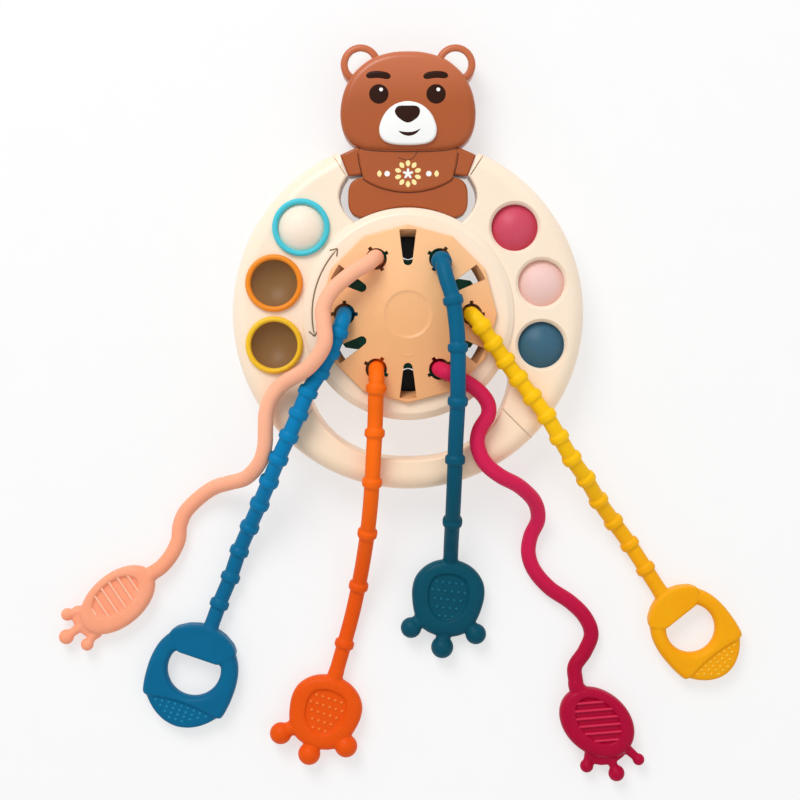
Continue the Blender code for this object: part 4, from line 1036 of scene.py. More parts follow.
def makePawTab(name):
    # a pad with a dotted window, and three round toes
    s = pawSet
    values = pawTabs[name]
    matrix = tabFrame(values["centre"], values["angle"])
    size = values["size"]
    half = tabSet["half"]
    outline = mirroredOutline(pawOutline, size)
    window = mirroredOutline(pawWindow, size)
    parts = [padSurface(outline, window, half, tabSet["windowDepth"])]
    for x, y, toe in np.array(values["toes"]) * mm:
        where = (x, y, toe - tabSet["height"] + s["toeRise"])
        root = (x * s["barFrom"], y * s["barFrom"], 0.0)
        parts.append(bar(root, where, *s["bar"]))
        parts.append(closedGrid(ballGrid(where, toe)))
    parts.append(neckBar(name, matrix, s["neckReach"]))
    piece = fuse(f"{name}_tab", parts, matrix, silicone[name])
    floor = half - tabSet["windowDepth"]
    dots = []
    for row, count in enumerate(s["dotRows"]):
        x = (s["dotFirst"] + row * s["dotStep"]) * size
        y = (np.arange(count) - (count - 1) / 2) * s["dotPitch"]
        dots.append(np.column_stack([np.full(count, x), y, np.full(count, floor)]))
    addTo(piece, *dotField(np.vstack(dots), *s["dot"]), matrix)
    return finishTab(name, piece)


loopOutline = [
    (-17.3, 6.0), (-14.8, 14.0), (-10.1, 18.0), (-4.8, 20.2), (1.7, 21.2), (8.7, 21.1), (13.7, 20.5),
    (17.4, 19.6), (19.7, 17.6), (22.9, 14.6), (26.0, 10.6), (28.3, 5.6), (29.2, 0.0),
]
loopCap = [
    (-8.8, 12.2), (-13.1, 16.6), (-16.5, 14.2), (-19.7, 9.0), (-21.3, 3.8), (-21.5, 0.0),
]
# long and wide stretch the whole tab; the hole's radius and chord are in millimetres
loopTabs = {
    "blue": {
        "centre": (-100.2, -166.3),
        "angle": -109,
        "long": 1.0,
        "wide": 1.0,
        "hole": 12.5,
        "chord": 5.9,
    },
    "yellow": {
        "centre": (132.1, -146.6),
        "angle": -51,
        "long": 0.97,
        "wide": 0.88,
        "hole": 11.4,
        "chord": 7.6,
    },
}
loopSet = {
    "edge": 3.2 * mm,
    "bandHalf": 4.1 * mm,
    "crescentHalf": 2.8 * mm,
    "crescentAt": 15.8 * mm,
    "crescentBend": 7.0,  # per metre: the crescent's edge is at x = crescentAt + bend y^2
    "crescentStep": 0.5 * mm,
    "crescentInset": 0.8 * mm,
    "capSide": 9.9,
    "capMiddle": -12.6 * mm,
    "capEdge": 1.0 * mm,
    "neckReach": 17.0 * mm,
    "dotRows": 4,
    "dotReach": 12.4,
    "dotShorter": 2.9,
    "dotPitch": 3.1,
    "dotFirst": 2.0 * mm,
    "dotStep": 2.3 * mm,
    "dot": (0.75 * mm, 0.5 * mm),
}


def loopBand(values):
    # r runs from the hole's edge to the outline, with a quarter round of the edge's radius at both;
    # z is the band's half height, less beyond the crescent's edge
    hole = values["hole"] * mm
    chord = values["chord"] * mm
    reach = np.arccos(chord / hole)
    a = np.linspace(np.pi - reach, -np.pi + reach, 60)
    dShape = roundedOutline(anticlockwise(np.column_stack(polar(hole, a))), 240, 3, 3)
    points = np.array(loopOutline) * [values["long"], values["wide"]]
    left = points[:-1][::-1] * [1, -1]
    outer = splineThrough(np.vstack([points, left]) * mm, 10, closed=True)
    a = roundAngles(260)
    rIn = polarOutline(dShape, (0, 0), a)
    rOut = polarOutline(outer, (0, 0), a)
    edge = loopSet["edge"]
    rounds = 7
    middle = 34
    s = np.linspace(0, np.pi / 2, rounds)
    flat = np.linspace(0, 1, middle + 2)
    p = np.concatenate([1 - np.cos(s), np.ones(middle + rounds)])
    t = np.concatenate([np.zeros(rounds), flat[1:-1], np.ones(rounds)])
    q = np.concatenate([np.zeros(rounds + middle), np.sin(s)])
    h = np.concatenate([np.sin(s), np.ones(middle), np.cos(s)])
    half = loopSet["bandHalf"]
    r = rIn + edge * p[:, None] + t[:, None] * (rOut - rIn - 2 * edge) + edge * q[:, None]
    x, y = polar(r, a)
    past = (x - loopSet["crescentAt"] - loopSet["crescentBend"] * y**2) / loopSet["crescentStep"]
    past = np.clip(past, 0, 1)
    top = half + (loopSet["crescentHalf"] - half) * past * past * (3 - 2 * past)
    z = top * h[:, None] ** 0.8
    inset = 1 - loopSet["crescentInset"] * past * q[:, None] ** 2 / np.maximum(r, mm)
    upper = np.stack([x * inset, y * inset, z], -1)
    lower = upper[::-1][1:-1] * [1, 1, -1]
    return closedGrid(np.vstack([upper, lower]), closedRows=True)


def pillowRows(low, high, edgeLow, edgeHigh, crown=0.0, inside=8):
    # rows of (inset, share of the rest, z): a quarter round at both edges, and a crown between
    s = np.linspace(0, np.pi / 2, 7)
    m = np.linspace(1, 0.08, inside)[1:]
    rows = [(edgeLow, k, low) for k in m[::-1]]
    rows += [(edgeLow * (1 - np.sin(v)), 1.0, low + edgeLow * (1 - np.cos(v))) for v in s]
    rows += [(edgeHigh * (1 - np.cos(v)), 1.0, high - edgeHigh * (1 - np.sin(v))) for v in s]
    rows += [(edgeHigh, k, high + crown * (1 - k * k)) for k in m]
    return np.array(rows)


def pillow(outline, centre, rows, count=240):
    # r = (R - inset) share, with R the outline's distance from the centre at each angle
    a = roundAngles(count)
    edge = polarOutline(outline, centre, a)
    r = (edge - rows[:, :1]) * rows[:, 1:2]
    return closedGrid(np.stack([*polar(r, a, centre), np.broadcast_to(rows[:, 2:], r.shape)], -1))


def makeLoopTab(name):
    # a D-shaped band, a cap over its string's end, and rows of dots on its crescent
    s = loopSet
    values = loopTabs[name]
    matrix = tabFrame(values["centre"], values["angle"])
    half = tabSet["half"]
    cap = np.vstack([[(-values["chord"], 0.0), (-values["chord"], s["capSide"])], loopCap])
    cap = cap * [values["long"], values["wide"]] * mm
    cap = np.vstack([cap, cap[1:-1][::-1] * [1, -1]])
    cap = roundedOutline(anticlockwise(cap), 300, 3, 2)
    capPillow = pillow(cap, (s["capMiddle"], 0.0), pillowRows(-half, half, s["capEdge"], s["capEdge"]))
    parts = [loopBand(values), capPillow, neckBar(name, matrix, s["neckReach"])]
    piece = fuse(f"{name}_tab", parts, matrix, silicone[name])
    dots = []
    for row in range(s["dotRows"]):
        reach = (s["dotReach"] - s["dotShorter"] * row) * values["wide"]
        y = np.arange(-reach, reach + 0.1, s["dotPitch"] * values["wide"]) * mm
        x = s["crescentAt"] + s["dotFirst"] + s["dotStep"] * row + s["crescentBend"] * y**2
        dots.append(np.column_stack([x, y, np.full(len(y), s["crescentHalf"] - 0.1 * mm)]))
    addTo(piece, *dotField(np.vstack(dots), *s["dot"]), matrix)
    return finishTab(name, piece)


tabPieces = {name: makeOvalTab(name) for name in ovalTabs}
tabPieces.update({name: makePawTab(name) for name in pawTabs})
tabPieces.update({name: makeLoopTab(name) for name in loopTabs})


print("tabs made")


# the ring: a front and a rear shell, parted at half its thickness, and the handle at its foot
ringSet = {
    "radius": 80.0,
    "edge": 7.6,
    "face": 24.0,
    "parting": 12.0,
    "gap": 0.3,
    "bore": 37.7,
    "collar": 47.9,
    "collarStep": 25.0,
    "collarLand": 44.8,
    "collarTop": 27.2,
    "recess": 41.5,
    "recessDepth": 3.5,
    "handleInside": 50.0,
    "handleHalf": 45.0,
    "handleNear": 52.0,
    "handleFar": 105.0,
    "steps": 256,
}
openingSet = {
    "low": -4.0,
    "high": 34.0,
    "flare": 1.3,
    "gripInner": 48.0,
    "gripHalf": (47.2, 46.0),
    "gripDrop": 20.2,
    "gripPower": 2.3,
    "gripEnd": 8.5,
    "gripStart": -27.0,
    "seatRound": [(24.4, 41.4), (27.9, 45.0), (30.3, 49.3), (31.1, 53.2), (30.2, 57.4), (28.3, 60.9)],
    "seatSlot": (68.2, 74.0, 82.0, 96.0),
    "seatSide": 23.5,
    "seatSeam": [(28.2, 62.7), (32.7, 69.6), (37.0, 76.2)],
    "handleSeam": [54.0, 60.0, 66.0, 74.0, 79.9],
    "seamWidth": 0.55,
    "seamDepth": 1.8,
    "handleGap": 0.1,
}
popperSet = {
    "circle": 62.1,
    "well": 11.6,
    "mouth": 10.9,
    "lip": 1.9,
    "bevel": 1.05,
    "wellLow": 5.0,
    "rearHigh": 20.0,
    "steps": 96,
}
poppers = {
    "cyan": {"angle": 141, "front": True, "up": True},
    "amber": {"angle": 167, "front": True, "up": False},
    "lemon": {"angle": 193, "front": True, "up": False},
    "rose": {"angle": 39, "front": False, "up": True},
    "pink": {"angle": 13, "front": False, "up": True},
    "slate": {"angle": -13, "front": False, "up": True},
}
screwSet = {
    "shell": [(45.2, 0), (45.2, 180), (66.5, 57), (66.5, 123), (69.0, -34), (69.0, 214)],
    "shellSeat": 7.8,
    "hub": [(16.0, 30), (16.0, 150), (16.0, 270)],
    "hubSeat": 1.7,
    "head": 2.8,
    "shank": 1.35,
    "counterbore": 3.1,
    "cross": 0.75,
    "crossReach": 1.7,
    "crossShare": 0.55,
    "crossFloor": 0.62,
    "crossTurn": 17.0,
    "crossBars": ((7.0, 1.0), (97.0, 0.93)),
}


def atPolar(radius, degrees):
    # a place on the ring, in millimetres from its centre, as metres in the frame
    a = np.radians(degrees)
    return radius * np.cos(a) * mm, ringY + radius * np.sin(a) * mm


def arcOf(radius, start, end, count, centre=(0.0, 0.0)):
    # points of a circle from one angle to another, in degrees
    return np.column_stack(polar(radius, np.radians(np.linspace(start, end, count)), centre))


def inFrame(points):
    # millimetres from the ring's centre, flat or in space, as metres in the frame
    points = np.asarray(points, float)
    return points * mm + [0.0, ringY, 0.0][: points.shape[-1]]


def latheOf(corners, steps, centre=(0.0, ringY), closed=True):
    # corners are (r, z, rounding) in millimetres
    corners = np.asarray(corners, float) * mm
    return lathe(softened(corners[:, :2], corners[:, 2], closed), steps, centre, closed)


def latheCutter(profile, centre, steps=96):
    # a solid of revolution to cut with; its profile starts and ends near the axis
    profile = np.asarray(profile, float) * mm
    return cutterOf(*lathe(profile, steps, centre, closedRows=False))


def flaredCut(shape):
    # a cutter through the ring whose outline is shape(d): d grows in a quarter round at both faces
    flare = openingSet["flare"]
    s = np.linspace(0, np.pi / 2, 7)
    inward = flare * (1 - np.sin(s))
    rise = flare * (1 - np.cos(s))
    d = np.concatenate([[flare], inward, inward[::-1], [flare]])
    face = ringSet["face"]
    z = np.concatenate([[openingSet["low"]], -0.03 + rise, face + 0.03 - rise[::-1], [openingSet["high"]]])
    return cutterOf(*prism([inFrame(shape(v)) for v in d], z * mm))


def gripShape(d):
    # between the collar, r = 48, and |x / a|^p + |(y + drop) / b|^p = 1, with blunt ends
    inner = openingSet["gripInner"]
    drop = openingSet["gripDrop"]
    power = openingSet["gripPower"]
    wide, tall = np.array(openingSet["gripHalf"]) + d
    end = np.radians(openingSet["gripStart"]) + d / inner
    rise = (inner * np.sin(end) + drop - openingSet["gripEnd"] - 0.3 * d) / tall
    first = np.arcsin(signedPower(rise, power / 2))
    a = np.linspace(first, -np.pi - first, 90)
    x = wide * signedPower(np.cos(a), 2 / power)
    y = tall * signedPower(np.sin(a), 2 / power) - drop
    below = np.column_stack([x, y])
    end = np.degrees(end)
    above = arcOf(inner, -180 - end, end, 70)
    return roundedOutline(np.vstack([below, above]), 420, 2, 3)


def seatShape(d):
    # the gap round the bear's legs, which follows the collar and opens at the ring's edge
    side = np.radians(openingSet["seatSide"])
    way = np.array([np.sin(side), np.cos(side)])
    out = np.array([np.cos(side), -np.sin(side)])
    slot = [way * r for r in openingSet["seatSlot"]]
    bend = splineThrough(np.vstack([openingSet["seatRound"], slot[:1]]), 10)
    bend = np.vstack([bend - toLeft(bend) * d, np.array(slot[1:]) + out * d])
    left = bend[::-1] * [-1, 1]
    start = np.degrees(np.arctan2(bend[0, 1], bend[0, 0]))
    foot = arcOf(openingSet["gripInner"], 180 - start, start, 40)[1:-1]
    return np.vstack([bend, left, foot])


def sectorCut(half):
    # a cutter over the handle's part of the ring, out past its edge
    inner = arcOf(ringSet["handleNear"], -90 + half, -90 - half, 60)
    outer = arcOf(ringSet["handleFar"], -90 - half, -90 + half, 20)
    return cutterOf(*prism([inFrame(np.vstack([inner, outer]))] * 2, (-2 * mm, openingSet["high"] * mm)))


def grooveCut(points, width, depth):
    # a thin groove that follows the ring's face and its rounded edge:
    # z = face - e + sqrt(e^2 - (r - (R - e))^2)
    line = splineThrough(points, 10)
    radius = np.linalg.norm(line, axis=1)
    e = ringSet["edge"]
    past = np.clip(radius - (ringSet["radius"] - e), 0, e)
    top = ringSet["face"] - e + np.sqrt(np.clip(e * e - past * past, 0, None))
    side = toLeft(line) * width / 2
    corners = [(1, 3.0), (-1, 3.0), (-1, -depth), (1, -depth)]
    grid = np.stack([np.column_stack([line + side * s, top + h]) for s, h in corners], 1)
    return cutterOf(*closedGrid(inFrame(grid)))


def handleSeams():
    # a groove over each joint between the shells and the handle
    reach = np.array(openingSet["handleSeam"])[:, None]
    cutters = []
    for way in (1, -1):
        a = np.radians(-90 + way * ringSet["handleHalf"])
        line = np.hstack(polar(reach, a))
        cutters.append(grooveCut(line, openingSet["seamWidth"], openingSet["seamDepth"]))
    return cutters


def openings():
    return [flaredCut(gripShape), flaredCut(seatShape)]


def makeRingPart(name, node, shape, cutters):
    # one of the ring's cream pieces, cut, put on the ring's body, and shown in place of its solid
    part = addPiece(name, shape, plastic["cream"], "ring")
    carve(part, cutters)
    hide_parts(node)
    return evenNormals(part)


def popperPlace(name):
    return atPolar(popperSet["circle"], poppers[name]["angle"])


def makeFrontShell():
    # a well through the shell for each popper; a rear-held one is smaller at the face, with a bevel
    s = ringSet
    low = s["parting"] + s["gap"] / 2
    corners = [
        (s["bore"], low, 0.3), (s["radius"], low, 0.25), (s["radius"], s["face"], s["edge"]),
        (s["collar"], s["face"], 0.5), (s["collar"], s["collarStep"], 0.9),
        (s["collarLand"], s["collarTop"], 2.0), (s["bore"], s["collarTop"], 0.8),
    ]
    cutters = openings() + [sectorCut(s["handleHalf"])]
    face = s["face"]
    start = popperSet["wellLow"]
    high = openingSet["high"]
    for name, values in poppers.items():
        centre = popperPlace(name)
        well = popperSet["well"]
        if values["front"]:
            cutters.append(latheCutter([(well, start), (well, high)], centre))
            continue
        mouth = popperSet["mouth"]
        bevel = popperSet["bevel"]
        under = face - popperSet["lip"]
        profile = [(well, start), (well, under), (mouth, under), (mouth, face - bevel)]
        profile += [(mouth + bevel + 0.05, face + 0.05), (mouth + bevel + 0.05, high)]
        cutters.append(latheCutter(profile, centre))
    seam = np.array(openingSet["seatSeam"])
    for mirror in (1, -1):
        cutters.append(grooveCut(seam * [mirror, 1], openingSet["seamWidth"], openingSet["seamDepth"]))
    return makeRingPart("front_ring", "front_shell", latheOf(corners, s["steps"]), cutters + handleSeams())


def makeRearShell():
    # wells with a bevel at the back, and a bore for each screw's head
    s = ringSet
    high = s["parting"] - s["gap"] / 2
    corners = [
        (s["bore"], high, 0.3), (s["bore"], s["recessDepth"], 0.3), (s["recess"], s["recessDepth"], 0.3),
        (s["recess"], 0.0, 0.6), (s["radius"], 0.0, s["edge"]), (s["radius"], high, 0.25),
    ]
    cutters = openings() + [sectorCut(s["handleHalf"])]
    low = openingSet["low"]
    well = popperSet["well"]
    profile = [(well + 1.0, low), (well + 1.0, -0.02), (well, 0.98), (well, popperSet["rearHigh"])]
    cutters += [latheCutter(profile, popperPlace(name)) for name in poppers]
    bore = screwSet["counterbore"]
    end = screwSet["shellSeat"] + 0.3
    profile = [(bore + 0.4, low), (bore + 0.4, -0.02), (bore, 0.38), (bore, end)]
    cutters += [latheCutter(profile, atPolar(*place), 48) for place in screwSet["shell"]]
    return makeRingPart("rear_ring", "rear_shell", latheOf(corners, s["steps"]), cutters)


def makeHandle():
    s = ringSet
    corners = [
        (s["handleInside"], 0.0, 1.0), (s["radius"], 0.0, s["edge"]), (s["radius"], s["face"], s["edge"]),
        (s["handleInside"], s["face"], 1.0),
    ]
    handle = addPiece("handle", latheOf(corners, s["steps"]), plastic["cream"], "ring")
    gap = np.degrees(openingSet["handleGap"] / s["radius"])
    carve(handle, [sectorCut(s["handleHalf"] - gap)], keepInside=True)
    carve(handle, [flaredCut(gripShape)] + handleSeams())
    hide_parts("grip_handle")
    return evenNormals(handle)


makeFrontShell()
makeRearShell()
makeHandle()
print("ring made")


# a double-ended brown arrow on the collar: a thin strip that widens into a chevron at each end
arrowSet = {
    "radius": 43.2,
    "start": 137.6,
    "end": 193.0,
    "width": 0.66,
    "wing": 3.4,
    "wingTurn": 2.45,
    "tipOut": 0.4,
    "sink": 0.15,
    "lift": 0.06,
}


def strip(line, half, low, high):
    # a flat bar along a line on the collar's land, tapered to nothing at both ends
    side = toLeft(line)
    wide = half * np.clip(4 * np.sin(np.linspace(0.06, np.pi - 0.06, len(line))), 0, 1)[:, None]
    left = line + side * wide
    right = line - side * wide
    corners = ((left, high), (right, high), (right, low), (left, low))
    grid = np.stack([atHeight(p, z) for p, z in corners], 1)
    return closedGrid(inFrame(grid))


def makeArrow():
    # an arc, and two wings at each end, turned from its direction there
    s = arrowSet
    low = ringSet["collarTop"] - s["sink"]
    high = ringSet["collarTop"] + s["lift"]
    parts = [strip(arcOf(s["radius"], s["start"], s["end"], 60), s["width"] / 2, low, high)]
    for angle, way in ((s["start"], -1), (s["end"], 1)):
        a = np.radians(angle)
        tip = np.array(polar(s["radius"], a))
        along = way * np.array([-np.sin(a), np.cos(a)])
        for turn in (-s["wingTurn"], s["wingTurn"]):
            c, sn = np.cos(turn), np.sin(turn)
            wing = tip + s["wing"] * np.array([c * along[0] - sn * along[1], sn * along[0] + c * along[1]])
            tipOut = tip + along * s["tipOut"]
            parts.append(strip(np.linspace(tipOut, wing, 10), s["width"] / 2, low, high - 0.01))
    arrow = addPiece("turn_arrow", gather(parts), plastic["arrow"], "ring")
    return arrow


makeArrow()
print("arrow made")


# the hub: a low twelve-sided cap whose corners are on the axes, and a skirt that turns in the bore
hubSet = {
    "sides": 12,
    "radius": 40.1,
    "rim": 29.7,
    "seat": 27.7,
    "top": 34.0,
    "flat": 11.0,
    "wall": 2.0,
    "skirt": 37.2,
    "skirtInside": 35.2,
    "skirtLow": 16.0,
    "rimSoft": 0.7,
    "edgeSoft": 0.28,
    "cutReach": 39.3,
    "cutLow": 29.5,
    "dimple": 10.9,
    "dimpleDepth": 0.6,
    "holeCircle": 28.5,
    "hole": 4.8,
    "notch": 6.0,
    "notchWidth": 1.6,
    "slotInner": 21.8,
    "slotOuter": 38.7,
    "holeHeights": (24.0, 38.0),
    "slotHeights": (14.0, 36.0),
    "slotAt": 31.7,
    "slotSlope": 0.37,
    "slotNarrow": 4.1,
    "slotWide": 7.8,
    "bossCircle": 16.0,
    "boss": 3.0,
    "bossLow": 3.3,
}


def hubRing(radius, z):
    # a twelve-sided ring with its corners at that radius, in metres
    corners = np.column_stack(polar(radius, roundAngles(hubSet["sides"])))
    return inFrame(atHeight(corners, z))


def stringHoleShape(turn):
    # a circle with four notches, in the hub's radial and tangential directions
    half = hubSet["notchWidth"] / 2
    spread = np.degrees(np.arcsin(half / hubSet["hole"]))
    points = []
    for k in range(4):
        middle = turn + 90 * k
        a = np.radians(middle)
        along = np.array([np.cos(a), np.sin(a)])
        across = np.array([-np.sin(a), np.cos(a)])
        points.append([along * hubSet["notch"] - across * half, along * hubSet["notch"] + across * half])
        points.append(arcOf(hubSet["hole"], middle + spread, middle + 90 - spread, 14))
    return np.vstack(points)


def slotShape(outer):
    # a half circle towards the hub's middle, sides that widen outwards, and a blunt end with
    # small corners
    narrow = hubSet["slotNarrow"] / 2
    wide = hubSet["slotWide"] / 2
    corners = [(outer - 0.7, -wide + 0.05), (outer - 0.15, -wide + 0.2), (outer, -wide + 0.8)]
    end = corners + [(x, -y) for x, y in reversed(corners)]
    return np.vstack([end, arcOf(narrow, 90, 270, 20, (hubSet["slotInner"] + narrow, 0.0))])


def turned(outline, degrees):
    # x' = x cos t - y sin t, y' = x sin t + y cos t
    a = np.radians(degrees)
    c, s = np.cos(a), np.sin(a)
    return np.asarray(outline) @ np.array([[c, s], [-s, c]])


def slotCutters():
    # the outer end is at r = outer - slope (slotAt - z), so it slopes inwards on its way down
    cutters = []
    heights = np.array(hubSet["slotHeights"])
    reach = hubSet["slotOuter"] - hubSet["slotSlope"] * (hubSet["slotAt"] - heights)
    for k in range(6):
        shapes = [inFrame(turned(slotShape(outer), 30 + 60 * k)) for outer in reach]
        cutters.append(cutterOf(*prism(shapes, heights * mm)))
    return cutters


def holeCutters():
    # one for each string hole, notched in its own radial direction
    cutters = []
    for k in range(6):
        a = np.radians(60 * k)
        middle = np.array(polar(hubSet["holeCircle"], a))
        shape = inFrame(stringHoleShape(60.0 * k) + middle)
        cutters.append(cutterOf(*prism([shape, shape], np.array(hubSet["holeHeights"]) * mm)))
    return cutters


def softenEdges(obj, chosen, offset, segments):
    # rounds the edges for which chosen(edge) holds
    bm = bmesh.new()
    bm.from_mesh(obj.data)
    bm.normal_update()
    edges = [edge for edge in bm.edges if len(edge.link_faces) == 2 and chosen(edge)]
    bmesh.ops.bevel(
        bm, geom=edges, offset=offset, segments=segments, profile=0.5, affect="EDGES", clamp_overlap=True
    )
    bm.to_mesh(obj.data)
    bm.free()


def isCapEdge(edge):
    # a ridge or the rim: an edge above the cap's outer wall
    return all(v.co.z > (hubSet["rim"] - 0.01) * mm for v in edge.verts) and edge.calc_face_angle() > 0.02


def isCutEdge(edge):
    # where a hole or slot leaves the cap's top, inside the rim
    one, two = (abs(face.normal.z) for face in edge.link_faces)
    reach = max(np.hypot(v.co.x, v.co.y - ringY) for v in edge.verts)
    low = min(v.co.z for v in edge.verts)
    upward = any(face.normal.z > 0.8 for face in edge.link_faces)
    inside = reach < hubSet["cutReach"] * mm and low > hubSet["cutLow"] * mm
    return upward and min(one, two) < 0.6 and inside


def makeHubCap():
    # a cone frustum of twelve sides and its inner face, cut by slots and holes, with a skirt and bosses
    s = hubSet
    rows = [hubRing(s["flat"], s["top"]), hubRing(s["radius"], s["rim"]), hubRing(s["radius"], s["seat"])]
    rows += [hubRing(s["skirtInside"], s["seat"]), hubRing(s["flat"], s["top"] - 1.3 * s["wall"])]
    cap = addPiece("hub_cap", closedGrid(np.stack(rows)), plastic["apricot"], "hub")
    softenEdges(cap, isCapEdge, s["rimSoft"] * mm, 4)
    carve(cap, slotCutters() + holeCutters())
    softenEdges(cap, isCutEdge, s["edgeSoft"] * mm, 2)
    top = s["top"]
    deep = top - s["dimpleDepth"]
    r = s["dimple"]
    dimple = [
        (0.2, deep), (r - 1.9, deep), (r - 1.3, deep + 0.05), (r - 0.7, deep + 0.28),
        (r - 0.2, deep + 0.52), (r + 0.2, top + 0.02), (r + 0.6, top + 0.2), (r + 0.6, top + 3.0),
    ]
    carve(cap, [latheCutter(dimple, (0.0, ringY), 120)])
    skirt = [
        (s["skirtInside"], s["skirtLow"], 0.3), (s["skirt"], s["skirtLow"], 0.4),
        (s["skirt"], s["seat"] + 0.4, 0.0), (s["skirtInside"], s["seat"] + 0.4, 0.0),
    ]
    ring = addPiece("skirt", latheOf(skirt, 180), plastic["apricot"], "hub")
    carve(ring, slotCutters())
    low = s["bossLow"]
    high = s["top"] - 1.0
    boss = np.array([(0.2, low), (s["boss"], low), (s["boss"], high), (0.2, high)]) * mm
    centres = [atPolar(s["bossCircle"], 30 + 120 * k) for k in range(3)]
    bosses = meshOf("bosses", *gather([lathe(boss, 32, centre, closedRows=False) for centre in centres]))
    joinTo(cap, ring.data, bosses)
    discard(ring)
    bpy.data.meshes.remove(bosses)
    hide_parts("hub_front_cap")
    return evenNormals(cap, 38)


makeHubCap()


# the two click pawls, from the ring's bore to a nose that rests between two of the wheel's lobes; their black
# is painted shade, for the dark seen in the hub's top and bottom slots
pawlSet = {
    "side": [(37.1, 3.9), (29.3, 3.9), (27.2, 3.2), (25.9, 1.8), (25.35, 0.0)],
    "low": 3.6,
    "high": 6.4,
}


def makePawl(side, angle):
    # half of its outline mirrored, rounded and turned to its side of the wheel
    s = pawlSet
    half = np.array(s["side"])
    outline = np.vstack([half, half[:-1][::-1] * [1, -1]])
    outline = inFrame(turned(roundedOutline(anticlockwise(outline), 160, 2, 1), angle))
    shape = prism([outline] * 2, (s["low"] * mm, s["high"] * mm))
    pawl = addPiece(f"pawl_{side}", shape, plastic["black"], "ring")
    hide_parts(f"click_pawl_{side}")
    return evenNormals(pawl)


makePawl("upper", 90)
makePawl("lower", -90)


def metal(name, colour, rough):
    # turned steel: drifting roughness and a fine grain
    made = moulded(name, colour, colour, rough=rough, grain=900.0, bump=0.03)
    fill(made.node_tree.nodes["Principled BSDF"], {"Metallic": 1.0})
    return made


steel = metal("zinc plated steel", (178, 180, 184), (0.3, 0.42))

# the hub's rear cap and the wheel are shown as their solids; the wheel's green is painted lighter than its
# own, painted light against the shade in the hub
for node, finish in (("hub_rear_cap", plastic["apricot"]), ("click_wheel", plastic["green"])):
    bpy.data.objects[node].material_slots[0].material = finish
print("hub made")


def screwParts(places, seat, headHeight, length):
    # pan heads that face down, r = R sin(t)^0.8 and z = 0.45 h (1 - cos t), each with its shank above
    s = screwSet
    t = np.linspace(0, np.pi / 2, 8)
    low = seat - headHeight
    dome = [(s["head"] * np.sin(v) ** 0.8, low + 0.45 * headHeight * (1 - np.cos(v))) for v in t[1:]]
    shank = s["shank"]
    end = seat + length
    profile = [(0.05, low), *dome, (s["head"], seat), (shank, seat), (shank, end - 1.2), (0.3, end)]
    parts = []
    for radius, angle in places:
        parts.append(lathe(np.array(profile) * mm, 40, atPolar(radius, angle), closedRows=False))
    return parts


def crossCutters(places, low, depth):
    # two bars across each head, narrower at their floor; no two at one angle or depth
    s = screwSet
    cutters = []
    wide = s["cross"] / 2
    reach = s["crossReach"]
    bar = np.array([(-reach, -wide), (reach, -wide), (reach, wide), (-reach, wide)])
    for index, (radius, angle) in enumerate(places):
        centre = np.array(atPolar(radius, angle))
        for first, share in s["crossBars"]:
            turn = first + s["crossTurn"] * index
            shapes = [turned(bar * size, turn) * mm + centre for size in (1.0, s["crossFloor"])]
            cutters.append(cutterOf(*prism(shapes, ((low - 1.0) * mm, (low + share * depth) * mm))))
    return cutters


def makeScrews(name, places, seat, headHeight, length, body, nodes):
    piece = addPiece(name, gather(screwParts(places, seat, headHeight, length)), steel, body)
    carve(piece, crossCutters(places, seat - headHeight, screwSet["crossShare"] * headHeight))
    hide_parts(*nodes)
    return evenNormals(piece)


shellNodes = [f"shell_screw_{k + 1}" for k in range(6)]
hubNodes = [f"hub_screw_{k + 1}" for k in range(3)]
makeScrews("ring_screws", screwSet["shell"], screwSet["shellSeat"], 2.0, 13.0, "ring", shellNodes)
makeScrews("hub_screws", screwSet["hub"], screwSet["hubSeat"], 1.0, 11.0, "hub", hubNodes)
print("screws made")


# the poppers: a clamped ring each, and a dome that turns inside out
domeSet = {
    "radius": 10.45,
    "height": 4.5,
    "wall": 0.3,
    "lip": 0.25,
    "rimEdge": 24.0,
    "deepEdge": 19.5,
}
# a rim's section as (radius, height, rounding), for one with its lip on the front face and one behind it
rimSet = {
    "front": [
        (10.5, 15.5, 0.3), (11.3, 15.5, 0.3), (11.3, 24.05, 0.1), (13.0, 24.05, 0.4),
        (13.0, 26.4, 1.2), (10.5, 26.4, 1.2),
    ],
    "rear": [(10.5, 13.2, 0.3), (11.3, 13.2, 0.3), (11.3, 21.8, 0.2), (10.5, 21.8, 0.3)],
}
# each popper's silicones, of its rim and its dome, and their slots
popperLooks = {
    "cyan": ("cyanRim", "creamDome", "cyan rim", "cream dome"),
    "amber": ("amberRim", "brownDome", "amber rim", "brown dome"),
    "lemon": ("lemonRim", "brownDome", "lemon rim", "brown dome"),
    "rose": ("creamDome", "roseDome", "cream rim", "rose dome"),
    "pink": ("creamDome", "pinkDome", "cream rim", "pink dome"),
    "slate": ("creamDome", "slateDome", "cream rim", "slate dome"),
}


def makeRim(name):
    # a ring whose lip stands on the front face, or one that is held under it
    centre = popperPlace(name)
    corners = rimSet["front" if poppers[name]["front"] else "rear"]
    rimLook, _, rimSlot, _ = popperLooks[name]
    shape = latheOf(corners, popperSet["steps"], centre)
    rim = addPiece(f"{name}_rim", shape, silicone[rimLook], "ring")
    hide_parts(f"popper_rim_{name}")
    return evenNormals(rim, 40)


